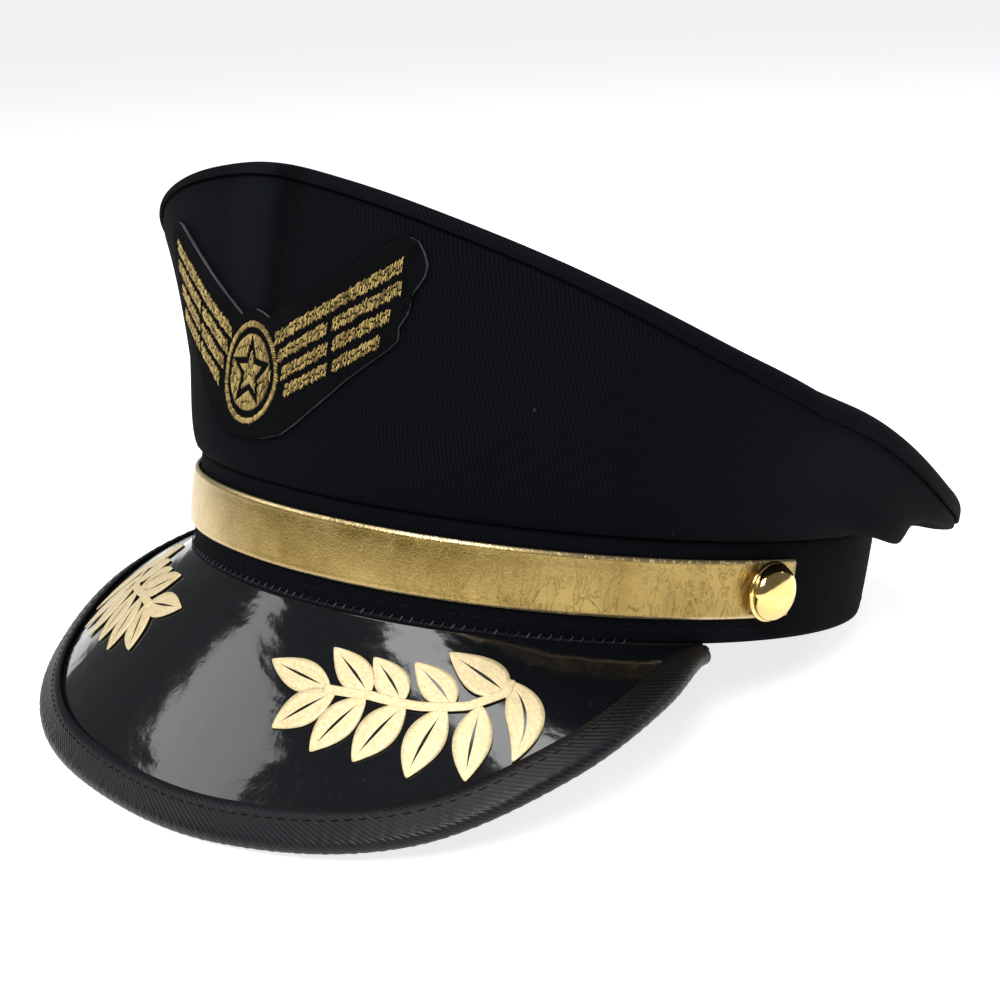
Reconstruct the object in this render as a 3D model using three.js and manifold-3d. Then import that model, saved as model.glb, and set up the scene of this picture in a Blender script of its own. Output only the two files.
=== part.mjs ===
// Peaked cap of black twill: soft crown, stiff head band, gold strap with two buttons,
// glossy peak bound with tape, gold laurel sprays and an embroidered winged badge.
//
// Lengths are millimetres and angles are degrees. The cap is worked out in its own frame:
// -Y is the front, +X the wearer's left, and Z = 0 is the lower edge of the head band.
// A place round the cap is an angle from the front, positive to the wearer's left.
// The finished cap is then leaned back, as it rests, on its peak and the back of its band.

import * as THREE from 'three';
import { mergeVertices } from 'three/addons/utils/BufferGeometryUtils.js';
import Module from 'manifold-3d';

const wasm = await Module();
wasm.setup();

// Clear gap between neighbouring pieces
const gap = 0.3;

// Head band, an upright ring
const bandHalfWidth = 87;
const bandFront = 104;
const bandRear = 106;
const bandRoundness = 2.05;
const bandHeight = 26.5;
const bandFlare = 0.02;
const bandWall = 2.4;

// Crown: plan of its rim, rise of the rim above the band, cloth and rolled edge
const crownHalfWidth = 119.9;
const crownFront = 77.3;
const crownRear = 148.6;
const crownCentre = -30;
const crownRoundness = 2.12;
const crownRise = 78.5;
const crownLap = 0.5;
const crownBulge = 1.6;
const crownFlare = 0.15;
const crownSag = 4.6;
const crownCuff = 2.8;
const crownWall = 1.8;
const lipWall = 1;
const rollRadius = 2.8;
const seamDrop = 3;
const topDome = 1.5;
const foldDepth = 3.4;

// Strap and buttons
const strapFoot = 6.6;
const strapWidth = 15.4;
const strapWall = 1.2;
const strapCrown = 0.5;
const strapEndAngle = 94.2;
const buttonAngle = 88.7;
const buttonRadius = 8;
const buttonRise = 4.6;
const buttonFoot = 1.3;

// Peak and the tape that binds it
const peakWidth = 61.4;
const peakSlope = 57.5;
const peakBow = 1.6;
const peakWall = 2.2;
const peakEndAngle = 80;
const tapeWall = 1.1;
const tapeLeaf = 7.5;
const tapeLeafShare = 0.6;
const tapeEndAngle = 78.5;

// Laurel sprays of thin foil
const foilWall = 0.5;
const stemWall = 0.7;
const leafHalfWidth = 4.15;
const stemWidth = 2.6;
const sprayShiftAngle = 9;
const sprayLiftShare = 0.06;

// Badge: felt patch and raised thread
const badgeFoot = 34.3;
const badgeShift = 1.2;
const badgeTilt = 0.045;
const wingSpan = 55.1;
const wingHeight = 30.6;
const patchWall = 1;
const threadWall = 0.8;
const threadGap = 0.4;
const roundelRadius = 13.2;
const roundelBorder = 2.4;
const discRadius = 9.6;
const starRadius = 6.4;
const starWaist = 0.45;
const roundelHeight = 26.1;
const rowWidth = 3.4;
const rowPitch = 4.9;
const rowSlope = 0.545;
const rowStart = 29.7;
const rowBreak = 28.5;
const rowBreakWidth = 1.6;

// Round the cap: height of the crown's rim as a share of crownRise, distance of the seam below
// the axis of the rolled edge as a share of seamDrop, radius of the rolled edge as a share of
// rollRadius, and how much the crown side hangs, as a share of crownSag and of crownCuff
const rimTable = [
  { at: 0, rise: 1, drop: 0.2, roll: 1, sag: 0 },
  { at: 12, rise: 0.973, drop: 0.2, roll: 1, sag: 0 },
  { at: 25, rise: 0.92, drop: 0.22, roll: 1, sag: 0 },
  { at: 45, rise: 0.813, drop: 0.3, roll: 1, sag: 0 },
  { at: 70, rise: 0.65, drop: 0.6, roll: 1.05, sag: 0.03 },
  { at: 95, rise: 0.495, drop: 0.8, roll: 1.2, sag: 0.25 },
  { at: 120, rise: 0.232, drop: 0.8, roll: 1.6, sag: 1 },
  { at: 150, rise: 0.085, drop: 0.9, roll: 1.85, sag: 0.42 },
  { at: 180, rise: 0.09, drop: 0.9, roll: 1.85, sag: 0.34 },
];

// Peak: width as a share of peakWidth, slope below the band's plane as a share of peakSlope
const peakTable = [
  { at: 0, width: 1, slope: 1 },
  { at: 20, width: 0.989, slope: 0.95 },
  { at: 40, width: 0.885, slope: 0.81 },
  { at: 55, width: 0.64, slope: 0.58 },
  { at: 68, width: 0.32, slope: 0.38 },
  { at: 76, width: 0.095, slope: 0.3 },
  { at: 81, width: 0.015, slope: 0.25 },
];

// Soft folds of the crown side: place and spread in degrees, depth as a share of foldDepth
const foldTable = [
  { at: 8, spread: 6, depth: 0.22 },
  { at: -1, spread: 6, depth: -0.18 },
  { at: 114, spread: 10, depth: 0.8 },
  { at: 131, spread: 8, depth: -0.6 },
  { at: 144, spread: 8, depth: 0.8 },
  { at: 162, spread: 9, depth: -0.6 },
  { at: -106, spread: 9, depth: -0.45 },
  { at: -122, spread: 8, depth: 0.8 },
  { at: -138, spread: 8, depth: -0.8 },
  { at: -156, spread: 8, depth: 0.6 },
];

// Leaves of a spray: foot and tip as an angle round the peak and a share of its width there,
// bend of the leaf sideways in degrees, half width as a share of leafHalfWidth
const leafTable = [
  { footAt: 26.5, footDown: 0.36, tipAt: 16.3, tipDown: 0.286, bend: 0.3, half: 0.9 },
  { footAt: 27.4, footDown: 0.37, tipAt: 21, tipDown: 0.562, bend: -0.3, half: 1 },
  { footAt: 31.9, footDown: 0.37, tipAt: 24.7, tipDown: 0.18, bend: 0.6, half: 0.9 },
  { footAt: 31.6, footDown: 0.385, tipAt: 27, tipDown: 0.637, bend: -0.4, half: 1 },
  { footAt: 36.3, footDown: 0.398, tipAt: 30.9, tipDown: 0.196, bend: 0.6, half: 0.9 },
  { footAt: 36.8, footDown: 0.405, tipAt: 32.4, tipDown: 0.667, bend: -0.4, half: 1.05 },
  { footAt: 42.5, footDown: 0.425, tipAt: 36.7, tipDown: 0.2, bend: 0.7, half: 0.95 },
  { footAt: 41.8, footDown: 0.43, tipAt: 38.8, tipDown: 0.748, bend: -0.4, half: 1.05 },
  { footAt: 46, footDown: 0.44, tipAt: 45, tipDown: 0.825, bend: -0.2, half: 1 },
  { footAt: 49, footDown: 0.4, tipAt: 41.1, tipDown: 0.136, bend: 0.9, half: 1.15 },
  { footAt: 49.3, footDown: 0.32, tipAt: 49.7, tipDown: 0.813, bend: 1.6, half: 1 },
];

// Stem of a spray
const stemTable = [
  { at: 25.6, down: 0.365 },
  { at: 32, down: 0.372 },
  { at: 38.5, down: 0.415 },
  { at: 44.5, down: 0.432 },
  { at: 48.9, down: 0.39 },
  { at: 49.4, down: 0.31 },
];

// Lower and upper edge of one wing of the patch: place across as a share of wingSpan, heights
// above badgeFoot as shares of wingHeight
const wingTable = [
  { across: 0, low: -0.7941, high: 0.2516 },
  { across: 0.118, low: -0.7906, high: 0.2061 },
  { across: 0.2269, low: -0.7472, high: 0.3084 },
  { across: 0.3358, low: -0.6645, high: 0.414 },
  { across: 0.3811, low: -0.508, high: 0.456 },
  { across: 0.5172, low: -0.3229, high: 0.5888 },
  { across: 0.6624, low: -0.1256, high: 0.7273 },
  { across: 0.8167, low: 0.0841, high: 0.8782 },
  { across: 0.8621, low: 0.2373, high: 0.9203 },
  { across: 0.9165, low: 0.3996, high: 0.9257 },
  { across: 0.9637, low: 0.5592, high: 0.8696 },
  { across: 1, low: 0.6706, high: 0.7491 },
];

// Wing rows, from the top one down: where each starts, as a share of roundelRadius, and where
// it ends, as a share of wingSpan
const rowTable = [
  { start: 0.818, end: 0.8875, split: false },
  { start: 0.932, end: 0.873, split: true },
  { start: 1.038, end: 0.8221, split: true },
  { start: 1.144, end: 0.7641, split: true },
];

const up = new THREE.Vector3(0, 0, 1);
const tau = 2 * Math.PI;

// Value of a table's column at an angle, on a smooth curve that is level at 0 and at 180
function fromTable(rows, column, angle) {
  const last = rows.length - 1;
  const place = THREE.MathUtils.clamp(Math.abs(angle), rows[0].at, rows[last].at);
  let i = 0;
  while (i < last - 1 && place > rows[i + 1].at) i += 1;
  const slope = (k) => {
    if (k === 0 || rows[k].at === 180) return 0;
    const next = Math.min(k + 1, last);
    return (rows[next][column] - rows[k - 1][column]) / (rows[next].at - rows[k - 1].at);
  };
  const span = rows[i + 1].at - rows[i].at;
  const t = (place - rows[i].at) / span;
  const a = (2 * t ** 3 - 3 * t ** 2 + 1) * rows[i][column] + (t ** 3 - 2 * t ** 2 + t) * span * slope(i);
  const b = (3 * t ** 2 - 2 * t ** 3) * rows[i + 1][column] + (t ** 3 - t ** 2) * span * slope(i + 1);
  return a + b;
}

// Same angle between -180 and 180
function turn(angle) {
  return THREE.MathUtils.euclideanModulo(angle + 180, 360) - 180;
}

// Point of a plan ring, an ellipse squared off by its roundness
function ringPoint(ring, angle, grow = 0) {
  const s = Math.sin(THREE.MathUtils.degToRad(angle));
  const c = Math.cos(THREE.MathUtils.degToRad(angle));
  const power = 2 / ring.roundness;
  const depth = (c > 0 ? ring.front : ring.rear) + grow;
  const x = (ring.halfWidth + grow) * Math.sign(s) * Math.abs(s) ** power;
  const y = ring.centre - depth * Math.sign(c) * Math.abs(c) ** power;
  return new THREE.Vector3(x, y, 0);
}

// Outward direction of a plan ring
function ringNormal(ring, angle) {
  const along = ringPoint(ring, angle + 0.05).sub(ringPoint(ring, angle - 0.05));
  return along.cross(up).normalize();
}

const bandRing = {
  halfWidth: bandHalfWidth, front: bandFront, rear: bandRear, roundness: bandRoundness, centre: 0,
};
const crownRing = {
  halfWidth: crownHalfWidth, front: crownFront, rear: crownRear,
  roundness: crownRoundness, centre: crownCentre,
};

// Outer face of the band at a height, moved outward by out
function bandSurface(angle, height, out = 0) {
  return ringPoint(bandRing, angle, bandFlare * height + out).setZ(height);
}

const crownFoot = bandHeight + gap;

// Radius of the crown's rolled edge, fuller at the rear
function rollAt(angle) {
  return rollRadius * fromTable(rimTable, 'roll', turn(angle));
}

// Axis of the rolled edge
function rollAxis(angle) {
  const rise = crownRise * fromTable(rimTable, 'rise', turn(angle));
  const point = ringPoint(crownRing, angle).setZ(crownFoot + rise - rollAt(angle));
  return point.addScaledVector(ringNormal(crownRing, angle), -rollAt(angle) / 2);
}

// Seam where the top panel is sewn to the crown side, below the rolled edge
function seamPoint(angle) {
  const point = rollAxis(angle).addScaledVector(ringNormal(crownRing, angle), rollAt(angle));
  return point.setZ(point.z - seamDrop * fromTable(rimTable, 'drop', turn(angle)));
}

// Upper edge of the crown side, tucked in just behind the lip of the top
function sideHead(angle) {
  const point = seamPoint(angle).addScaledVector(ringNormal(crownRing, angle), -lipWall - gap);
  return point.setZ(point.z + gap);
}

// Depth of the soft folds and of the hanging cloth, none at the band nor at the seam
function foldOut(angle, rise) {
  let sum = 0;
  for (const fold of foldTable) {
    sum += fold.depth * Math.exp(-((turn(angle - fold.at) / fold.spread) ** 2));
  }
  const late = Math.max((rise - 0.6) / 0.4, 0);
  const hang = crownSag * Math.sin(Math.PI * Math.min(rise / 0.55, 1)) ** 2;
  const cuff = crownCuff * 6.75 * late ** 2 * (1 - late);
  const soft = fromTable(rimTable, 'sag', turn(angle)) * (hang + cuff);
  return soft + foldDepth * sum * Math.sin(Math.PI * rise) ** 2;
}

// Outer face of the crown side: rise runs from 0 at the band to 1 at the seam
function sideSurface(angle, rise) {
  const foot = bandSurface(angle, bandHeight, crownLap).setZ(crownFoot);
  const head = sideHead(angle);
  const out = ringNormal(crownRing, angle);
  const lean = (1 - crownFlare) * rise + crownFlare * rise * rise;
  const bulge = crownBulge * Math.sin(Math.PI * Math.min(rise / 0.35, 1) ** 0.5);
  const shoulder = (lipWall + gap) * Math.sin((Math.PI / 2) * Math.min(rise / 0.9, (1 - rise) / 0.1));
  const point = new THREE.Vector3(
    THREE.MathUtils.lerp(foot.x, head.x, lean),
    THREE.MathUtils.lerp(foot.y, head.y, lean),
    THREE.MathUtils.lerp(foot.z, head.z, rise),
  );
  const tip = Math.atan2(out.dot(head.clone().sub(foot)), head.z - foot.z);
  point.addScaledVector(out, bulge + shoulder + Math.cos(tip) * foldOut(angle, rise));
  return point.addScaledVector(up, -Math.sin(tip) * foldOut(angle, rise));
}

// Top of the rolled edge
function rimTop(angle) {
  return rollAxis(angle).addScaledVector(up, rollAt(angle));
}

// Height of the flat plane that the top panel is stretched near, from the rim's front and rear
const rimFront = rimTop(0);
const rimRear = rimTop(180);
const topFall = (rimRear.z - rimFront.z) / (rimRear.y - rimFront.y);
const topMiddle = (rimFront.y + rimRear.y) / 2;

function topPlane(y) {
  return (rimFront.z + rimRear.z) / 2 + topFall * (y - topMiddle);
}

// Share of the way over the top panel at which its rolled edge starts and ends
const rollStart = 0.06;
const rollStop = 0.26;

// Outer face of the crown top: way runs from 0 at the seam, round the rolled edge, to 1 at the middle
function topSurface(angle, way) {
  const axis = rollAxis(angle);
  const out = ringNormal(crownRing, angle);
  if (way <= rollStart) {
    const foot = seamPoint(angle);
    return foot.setZ(THREE.MathUtils.lerp(foot.z + gap, axis.z, way / rollStart));
  }
  if (way <= rollStop) {
    const bend = (Math.PI / 2) * ((way - rollStart) / (rollStop - rollStart));
    axis.addScaledVector(out, rollAt(angle) * Math.cos(bend));
    return axis.addScaledVector(up, rollAt(angle) * Math.sin(bend));
  }
  const share = 1 - (way - rollStop) / (1 - rollStop);
  const edge = rimTop(angle);
  const offPlane = edge.z - topPlane(edge.y);
  const x = edge.x * share;
  const y = topMiddle + (edge.y - topMiddle) * share;
  const z = topPlane(y) + offPlane * share ** 2 + topDome * (1 - share ** 2);
  return new THREE.Vector3(x, y, z);
}

// Width of the peak at an angle
function peakReach(angle) {
  return peakWidth * fromTable(peakTable, 'width', angle);
}

// Outer face of the peak: down runs from 0 at the band to 1 at the peak's edge
function peakSurface(angle, down, raised = 0) {
  const slope = THREE.MathUtils.degToRad(peakSlope * fromTable(peakTable, 'slope', angle));
  const out = ringNormal(bandRing, angle);
  const full = peakReach(angle);
  const reach = full * down;
  const lift = (peakBow / peakWidth) * full * Math.sin(Math.PI * Math.min(down, 1)) + raised;
  const point = bandSurface(angle, 0).setZ(-gap);
  point.addScaledVector(out, reach * Math.cos(slope) + lift * Math.sin(slope));
  return point.addScaledVector(up, lift * Math.cos(slope) - reach * Math.sin(slope));
}

// Unit normal of a surface with two parameters, by differences
function surfaceNormal(surface, u, v) {
  const du = 0.05;
  const dv = 0.002;
  const high = Math.min(v + dv, 1);
  const low = Math.max(v - dv, 0);
  const along = surface(u + du, v).sub(surface(u - du, v));
  const across = surface(u, high).sub(surface(u, low));
  return along.cross(across).normalize();
}

function peakNormal(angle, down) {
  return surfaceNormal(peakSurface, angle, down).negate();
}

// Mesh of a wall between an outer and an inner grid of points. Each grid is a list of columns
// that go round counterclockwise seen from above, each a list of points going up.
// closed joins the last column to the first, and pole draws the last row to one point.
function wallGeometry(outer, inner, { closed = false, pole = false } = {}) {
  const columns = outer.length;
  const rows = outer[0].length;
  const points = [];
  for (const grid of [outer, inner]) {
    for (const column of grid) points.push(...column);
  }
  const at = (side, i, j) => (side * columns + (i % columns)) * rows + j;
  const faces = [];
  const quad = (a, b, c, d) => faces.push([a, b, c], [a, c, d]);
  const spans = closed ? columns : columns - 1;
  const lastRow = pole ? rows - 2 : rows - 1;
  for (let i = 0; i < spans; i += 1) {
    for (let j = 0; j < lastRow; j += 1) {
      quad(at(0, i, j), at(0, i + 1, j), at(0, i + 1, j + 1), at(0, i, j + 1));
      quad(at(1, i + 1, j), at(1, i, j), at(1, i, j + 1), at(1, i + 1, j + 1));
    }
    quad(at(1, i, 0), at(1, i + 1, 0), at(0, i + 1, 0), at(0, i, 0));
    if (pole) {
      faces.push([at(0, i, lastRow), at(0, i + 1, lastRow), at(0, 0, rows - 1)]);
      faces.push([at(1, i + 1, lastRow), at(1, i, lastRow), at(1, 0, rows - 1)]);
    } else {
      quad(at(0, i, lastRow), at(0, i + 1, lastRow), at(1, i + 1, lastRow), at(1, i, lastRow));
    }
  }
  if (!closed) {
    const end = columns - 1;
    for (let j = 0; j < lastRow; j += 1) {
      quad(at(1, 0, j), at(0, 0, j), at(0, 0, j + 1), at(1, 0, j + 1));
      quad(at(0, end, j), at(1, end, j), at(1, end, j + 1), at(0, end, j + 1));
    }
  }
  const geometry = new THREE.BufferGeometry();
  const position = points.flatMap((p) => [p.x, p.y, p.z]);
  geometry.setAttribute('position', new THREE.Float32BufferAttribute(position, 3));
  geometry.setIndex(faces.flat());
  return geometry;
}

// Grid of points: make(u, v) for each u of a list, going up the list of v
function grid(us, vs, make) {
  return us.map((u) => vs.map((v) => make(u, v)));
}

// Evenly spaced values from first to last
function steps(first, last, count) {
  return Array.from({ length: count + 1 }, (_, i) => first + ((last - first) * i) / count);
}

// Evenly spaced angles once round, the last one left out
function roundSteps(count) {
  return steps(-180, 180, count).slice(0, -1);
}

// Solids for joining and cutting, and back
function toSolid(geometry) {
  const bare = geometry.clone();
  bare.deleteAttribute('normal');
  bare.deleteAttribute('uv');
  const merged = mergeVertices(bare, 1e-5);
  const vertProperties = new Float32Array(merged.attributes.position.array);
  const triVerts = new Uint32Array(merged.index.array);
  return new wasm.Manifold(new wasm.Mesh({ numProp: 3, vertProperties, triVerts }));
}

function fromSolid(solid) {
  const mesh = solid.getMesh();
  const geometry = new THREE.BufferGeometry();
  geometry.setAttribute('position', new THREE.BufferAttribute(new Float32Array(mesh.vertProperties), 3));
  geometry.setIndex(Array.from(mesh.triVerts));
  return geometry;
}

// Finishes
const finishes = {
  twill: { color: 0x14161c, roughness: 0.9, metalness: 0 },
  band: { color: 0x121419, roughness: 0.92, metalness: 0 },
  gold: { color: 0xc9a35c, roughness: 0.4, metalness: 0.6 },
  brass: { color: 0xd9ae55, roughness: 0.15, metalness: 1 },
  patent: { color: 0x0b0c0f, roughness: 0.12, metalness: 0 },
  tape: { color: 0x17191f, roughness: 0.8, metalness: 0 },
  foil: { color: 0xe8d39a, roughness: 0.45, metalness: 0.3 },
  felt: { color: 0x101114, roughness: 1, metalness: 0 },
  thread: { color: 0xc79a3a, roughness: 0.5, metalness: 0.5 },
};

const cap = new THREE.Group();

function addPiece(name, geometry, finish) {
  geometry.computeVertexNormals();
  const mesh = new THREE.Mesh(geometry, new THREE.MeshStandardMaterial(finishes[finish]));
  mesh.name = name;
  cap.add(mesh);
  return mesh;
}

// Crown side
const crownColumns = 68;
const sideRows = [0, 0.07, 0.18, 0.32, 0.47, 0.62, 0.77, 0.9, 1];

function makeCrownSide() {
  const us = roundSteps(crownColumns);
  const inward = (u, v) => (v === 0 ? ringNormal(bandRing, u) : surfaceNormal(sideSurface, u, v));
  const outer = grid(us, sideRows, sideSurface);
  const inner = grid(us, sideRows, (u, v) => sideSurface(u, v).addScaledVector(inward(u, v), -crownWall));
  return wallGeometry(outer, inner, { closed: true });
}

// Crown top, from its seam round the rolled edge to the middle
const topRows = [0, rollStart, 0.125, 0.19, rollStop, 0.35, 0.52, 0.7, 0.86];

function makeCrownTop() {
  const us = roundSteps(crownColumns);
  const outer = grid(us, topRows, topSurface);
  const inner = grid(us, topRows, (u, v) => {
    if (v <= rollStart) return topSurface(u, v).addScaledVector(ringNormal(crownRing, u), -lipWall);
    return topSurface(u, v).addScaledVector(surfaceNormal(topSurface, u, v), -crownWall);
  });
  const middle = topSurface(0, 1);
  const under = middle.clone().addScaledVector(up, -crownWall);
  for (const column of outer) column.push(middle.clone());
  for (const column of inner) column.push(under.clone());
  return wallGeometry(outer, inner, { closed: true, pole: true });
}

// Head band: upright wall with a flat lower edge
function makeBand() {
  const us = roundSteps(crownColumns);
  const heights = [0, bandHeight];
  const outer = grid(us, heights, (angle, z) => bandSurface(angle, z));
  const inner = grid(us, heights, (angle, z) => bandSurface(angle, z, -bandWall));
  return wallGeometry(outer, inner, { closed: true });
}

// Strap: slightly domed across its width, close to the band
function makeStrap() {
  const us = steps(-strapEndAngle, strapEndAngle, 40);
  const heights = [strapFoot, strapFoot + strapWidth / 2, strapFoot + strapWidth];
  const domes = [0, strapCrown, 0];
  const outer = us.map((angle) => heights.map((z, j) => bandSurface(angle, z, gap + strapWall + domes[j])));
  const inner = us.map((angle) => heights.map((z) => bandSurface(angle, z, gap)));
  return wallGeometry(outer, inner);
}

// Button: domed cap on a narrower foot, its axis square to the band
function makeButton(side) {
  const steep = 6;
  const profile = [new THREE.Vector2(0, 0), new THREE.Vector2(buttonRadius * 0.8, 0)];
  profile.push(new THREE.Vector2(buttonRadius * 0.8, buttonFoot * 0.6));
  profile.push(new THREE.Vector2(buttonRadius, buttonFoot));
  for (let i = 1; i < steep; i += 1) {
    const bend = (Math.PI / 2) * (i / steep);
    const rise = buttonFoot + buttonRise * Math.sin(bend);
    profile.push(new THREE.Vector2(buttonRadius * Math.cos(bend), rise));
  }
  profile.push(new THREE.Vector2(0, buttonFoot + buttonRise));
  const geometry = new THREE.LatheGeometry(profile, 20);
  const angle = side * buttonAngle;
  const seat = bandSurface(angle, strapFoot + strapWidth / 2, gap + strapWall + strapCrown + gap);
  const upright = new THREE.Vector3(0, 1, 0);
  const turned = new THREE.Quaternion().setFromUnitVectors(upright, ringNormal(bandRing, angle));
  geometry.applyQuaternion(turned);
  geometry.translate(seat.x, seat.y, seat.z);
  return geometry;
}

// Peak: a curved sheet hung from under the band's lower edge
function makePeak() {
  const us = [-peakEndAngle, ...steps(-tapeEndAngle, tapeEndAngle, 34), peakEndAngle];
  const downs = steps(1, 0, 6);
  const outer = grid(us, downs, (angle, down) => peakSurface(angle, down));
  const inner = grid(us, downs, (angle, down) => peakSurface(angle, down, -peakWall));
  return wallGeometry(outer, inner);
}

// Binding tape folded round the peak's edge, as a bent wall with its hollow side inward.
// Its two leaves lie along the peak's faces, its fold is half a circle round the edge.
function makeBinding() {
  const innerHalf = peakWall / 2 + gap;
  const bends = [-90, -45, 0, 45, 90].map(THREE.MathUtils.degToRad);
  const us = steps(-tapeEndAngle, tapeEndAngle, 34);
  const sweep = (half) => us.map((angle) => {
    const leafDown = 1 - Math.min(tapeLeaf / peakReach(angle), tapeLeafShare);
    const leafNormal = peakNormal(angle, leafDown);
    const leaf = peakSurface(angle, leafDown).addScaledVector(leafNormal, -peakWall / 2);
    const normal = peakNormal(angle, 1);
    const middle = peakSurface(angle, 1).addScaledVector(normal, -peakWall / 2);
    const along = peakSurface(angle + 0.2, 1).sub(peakSurface(angle - 0.2, 1)).normalize();
    const outward = along.cross(normal).normalize();
    const fold = bends.map((bend) => {
      const point = middle.clone().addScaledVector(outward, half * Math.cos(bend));
      return point.addScaledVector(normal, half * Math.sin(bend));
    });
    const under = leaf.clone().addScaledVector(leafNormal, -half);
    return [under, ...fold, leaf.addScaledVector(leafNormal, half)];
  });
  return wallGeometry(sweep(innerHalf + tapeWall), sweep(innerHalf));
}

// Flat strip of foil along a path on the peak, between its left and right edge
function foilStrip(side, path, halfWidth, low, high) {
  const shift = side > 0 ? 0 : sprayShiftAngle;
  const lift = side > 0 ? 0 : sprayLiftShare;
  const spots = path.map(({ at, down }) => new THREE.Vector3(side * at + shift, down - lift, 0));
  const curve = new THREE.CatmullRomCurve3(spots);
  const place = (u, v, raised) => {
    const here = curve.getPoint(u);
    const before = curve.getPoint(Math.max(u - 0.02, 0));
    const after = curve.getPoint(Math.min(u + 0.02, 1));
    const along = peakSurface(after.x, after.y).sub(peakSurface(before.x, before.y));
    const normal = peakNormal(here.x, here.y);
    const across = normal.clone().cross(along).normalize();
    const point = peakSurface(here.x, here.y).addScaledVector(normal, raised);
    return point.addScaledVector(across, v * halfWidth(u));
  };
  const us = steps(0, 1, path.length > 4 ? 8 : 6);
  const sheet = (raised) => grid(us, [-1, 1], (u, v) => place(u, v, raised));
  return wallGeometry(sheet(high), sheet(low));
}

// Half width of a leaf along its length, a lens that stays open a little at both ends
function leafShape(half) {
  return (u) => leafHalfWidth * half * (0.07 + 0.93 * Math.sin(Math.PI * u ** 0.9));
}

function makeSpray(side) {
  const stemOut = gap + (stemWall - foilWall) / 2;
  const stem = foilStrip(side, stemTable, () => stemWidth / 2, gap, stemOut + stemWall);
  let spray = toSolid(stem);
  for (const leaf of leafTable) {
    const middle = {
      at: (leaf.footAt + leaf.tipAt) / 2 + leaf.bend,
      down: (leaf.footDown + leaf.tipDown) / 2,
    };
    const path = [{ at: leaf.footAt, down: leaf.footDown }, middle, { at: leaf.tipAt, down: leaf.tipDown }];
    const low = gap + 0.05;
    spray = spray.add(toSolid(foilStrip(side, path, leafShape(leaf.half), low, low + foilWall)));
  }
  return fromSolid(spray);
}

// Place on the front of the crown, millimetres across and up from the crown's foot.
// The angle is found by a few steps along the wall.
function frontPoint(across, height, out) {
  let angle = across / 1.9;
  let rise = 0.5;
  for (let i = 0; i < 12; i += 1) {
    rise = height / (sideHead(angle).z - crownFoot);
    angle += (across - sideSurface(angle, rise).x) / 1.9;
  }
  const point = sideSurface(angle, rise);
  return point.addScaledVector(surfaceNormal(sideSurface, angle, rise), out);
}

// Sheet of the badge over columns of places, each from its lower to its upper edge
function badgeSheet(columns, low, high, options) {
  const place = ([x, z], out) => frontPoint(badgeShift + x, z + badgeTilt * x, out);
  const layer = (out) => columns.map((column) => column.map((spot) => place(spot, out)));
  return wallGeometry(layer(high), layer(low), options);
}

function makePatch() {
  const right = wingTable.map(({ across, low, high }) => {
    return [across * wingSpan, badgeFoot + low * wingHeight, badgeFoot + high * wingHeight];
  });
  const left = right.slice(1).reverse().map(([across, low, high]) => [-across, low, high]);
  const columns = [...left, ...right].map(([across, low, high]) => {
    return steps(0, 1, 4).map((share) => [across, low + (high - low) * share]);
  });
  return badgeSheet(columns, gap, gap + patchWall);
}

const threadLow = gap + patchWall + threadGap;

function roundelPoint(radius, turnShare) {
  const bend = tau * turnShare;
  return [radius * Math.sin(bend) * 0.92, roundelHeight - radius * Math.cos(bend)];
}

function makeRing() {
  const columns = roundSteps(20).map((angle) => {
    return [roundelRadius, roundelRadius - roundelBorder].map((radius) => roundelPoint(radius, angle / 360));
  });
  return badgeSheet(columns, threadLow, threadLow + threadWall, { closed: true });
}

function makeDisc() {
  const columns = roundSteps(20).map((angle) => {
    return [discRadius, discRadius / 2, 0].map((radius) => roundelPoint(radius, angle / 360));
  });
  return badgeSheet(columns, threadLow, threadLow + threadWall / 2, { closed: true, pole: true });
}

function makeStar() {
  const columns = roundSteps(10).map((angle, i) => {
    const radius = starRadius * (i % 2 === 0 ? 1 : starWaist);
    return [radius, 0].map((r) => roundelPoint(r, (angle + 360) / 360));
  });
  const low = threadLow + threadWall / 2 + gap;
  return badgeSheet(columns, low, low + threadWall / 2, { closed: true, pole: true });
}

// Length of a wing row between two places across, on one side of the badge
function makeRow(side, index, start, end) {
  const us = steps(start, end, 3);
  const columns = (side > 0 ? us : us.slice().reverse()).map((across) => {
    const middle = rowStart + rowSlope * across - index * rowPitch;
    return [middle - rowWidth / 2, middle + rowWidth / 2].map((z) => [side * across, z]);
  });
  return badgeSheet(columns, threadLow, threadLow + threadWall);
}

function addWing(side, sideName) {
  rowTable.forEach((row, index) => {
    const start = row.start * roundelRadius;
    const end = row.end * wingSpan;
    const name = `wing_${sideName}_row_${index + 1}`;
    if (!row.split) {
      addPiece(name, makeRow(side, index, start, end), 'thread');
      return;
    }
    addPiece(name, makeRow(side, index, start, rowBreak - rowBreakWidth / 2), 'thread');
    addPiece(`${name}_outer`, makeRow(side, index, rowBreak + rowBreakWidth / 2, end), 'thread');
  });
}

addPiece('crown_side', makeCrownSide(), 'twill');
addPiece('crown_top', makeCrownTop(), 'twill');
addPiece('cap_band', makeBand(), 'band');
addPiece('chin_strap', makeStrap(), 'gold');
addPiece('button_left', makeButton(1), 'brass');
addPiece('button_right', makeButton(-1), 'brass');
addPiece('peak', makePeak(), 'patent');
addPiece('peak_binding', makeBinding(), 'tape');
addPiece('laurel_left', makeSpray(1), 'foil');
addPiece('laurel_right', makeSpray(-1), 'foil');
addPiece('badge_patch', makePatch(), 'felt');
addPiece('badge_ring', makeRing(), 'thread');
addPiece('badge_disc', makeDisc(), 'thread');
addPiece('badge_star', makeStar(), 'thread');
addWing(1, 'left');
addWing(-1, 'right');

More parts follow.
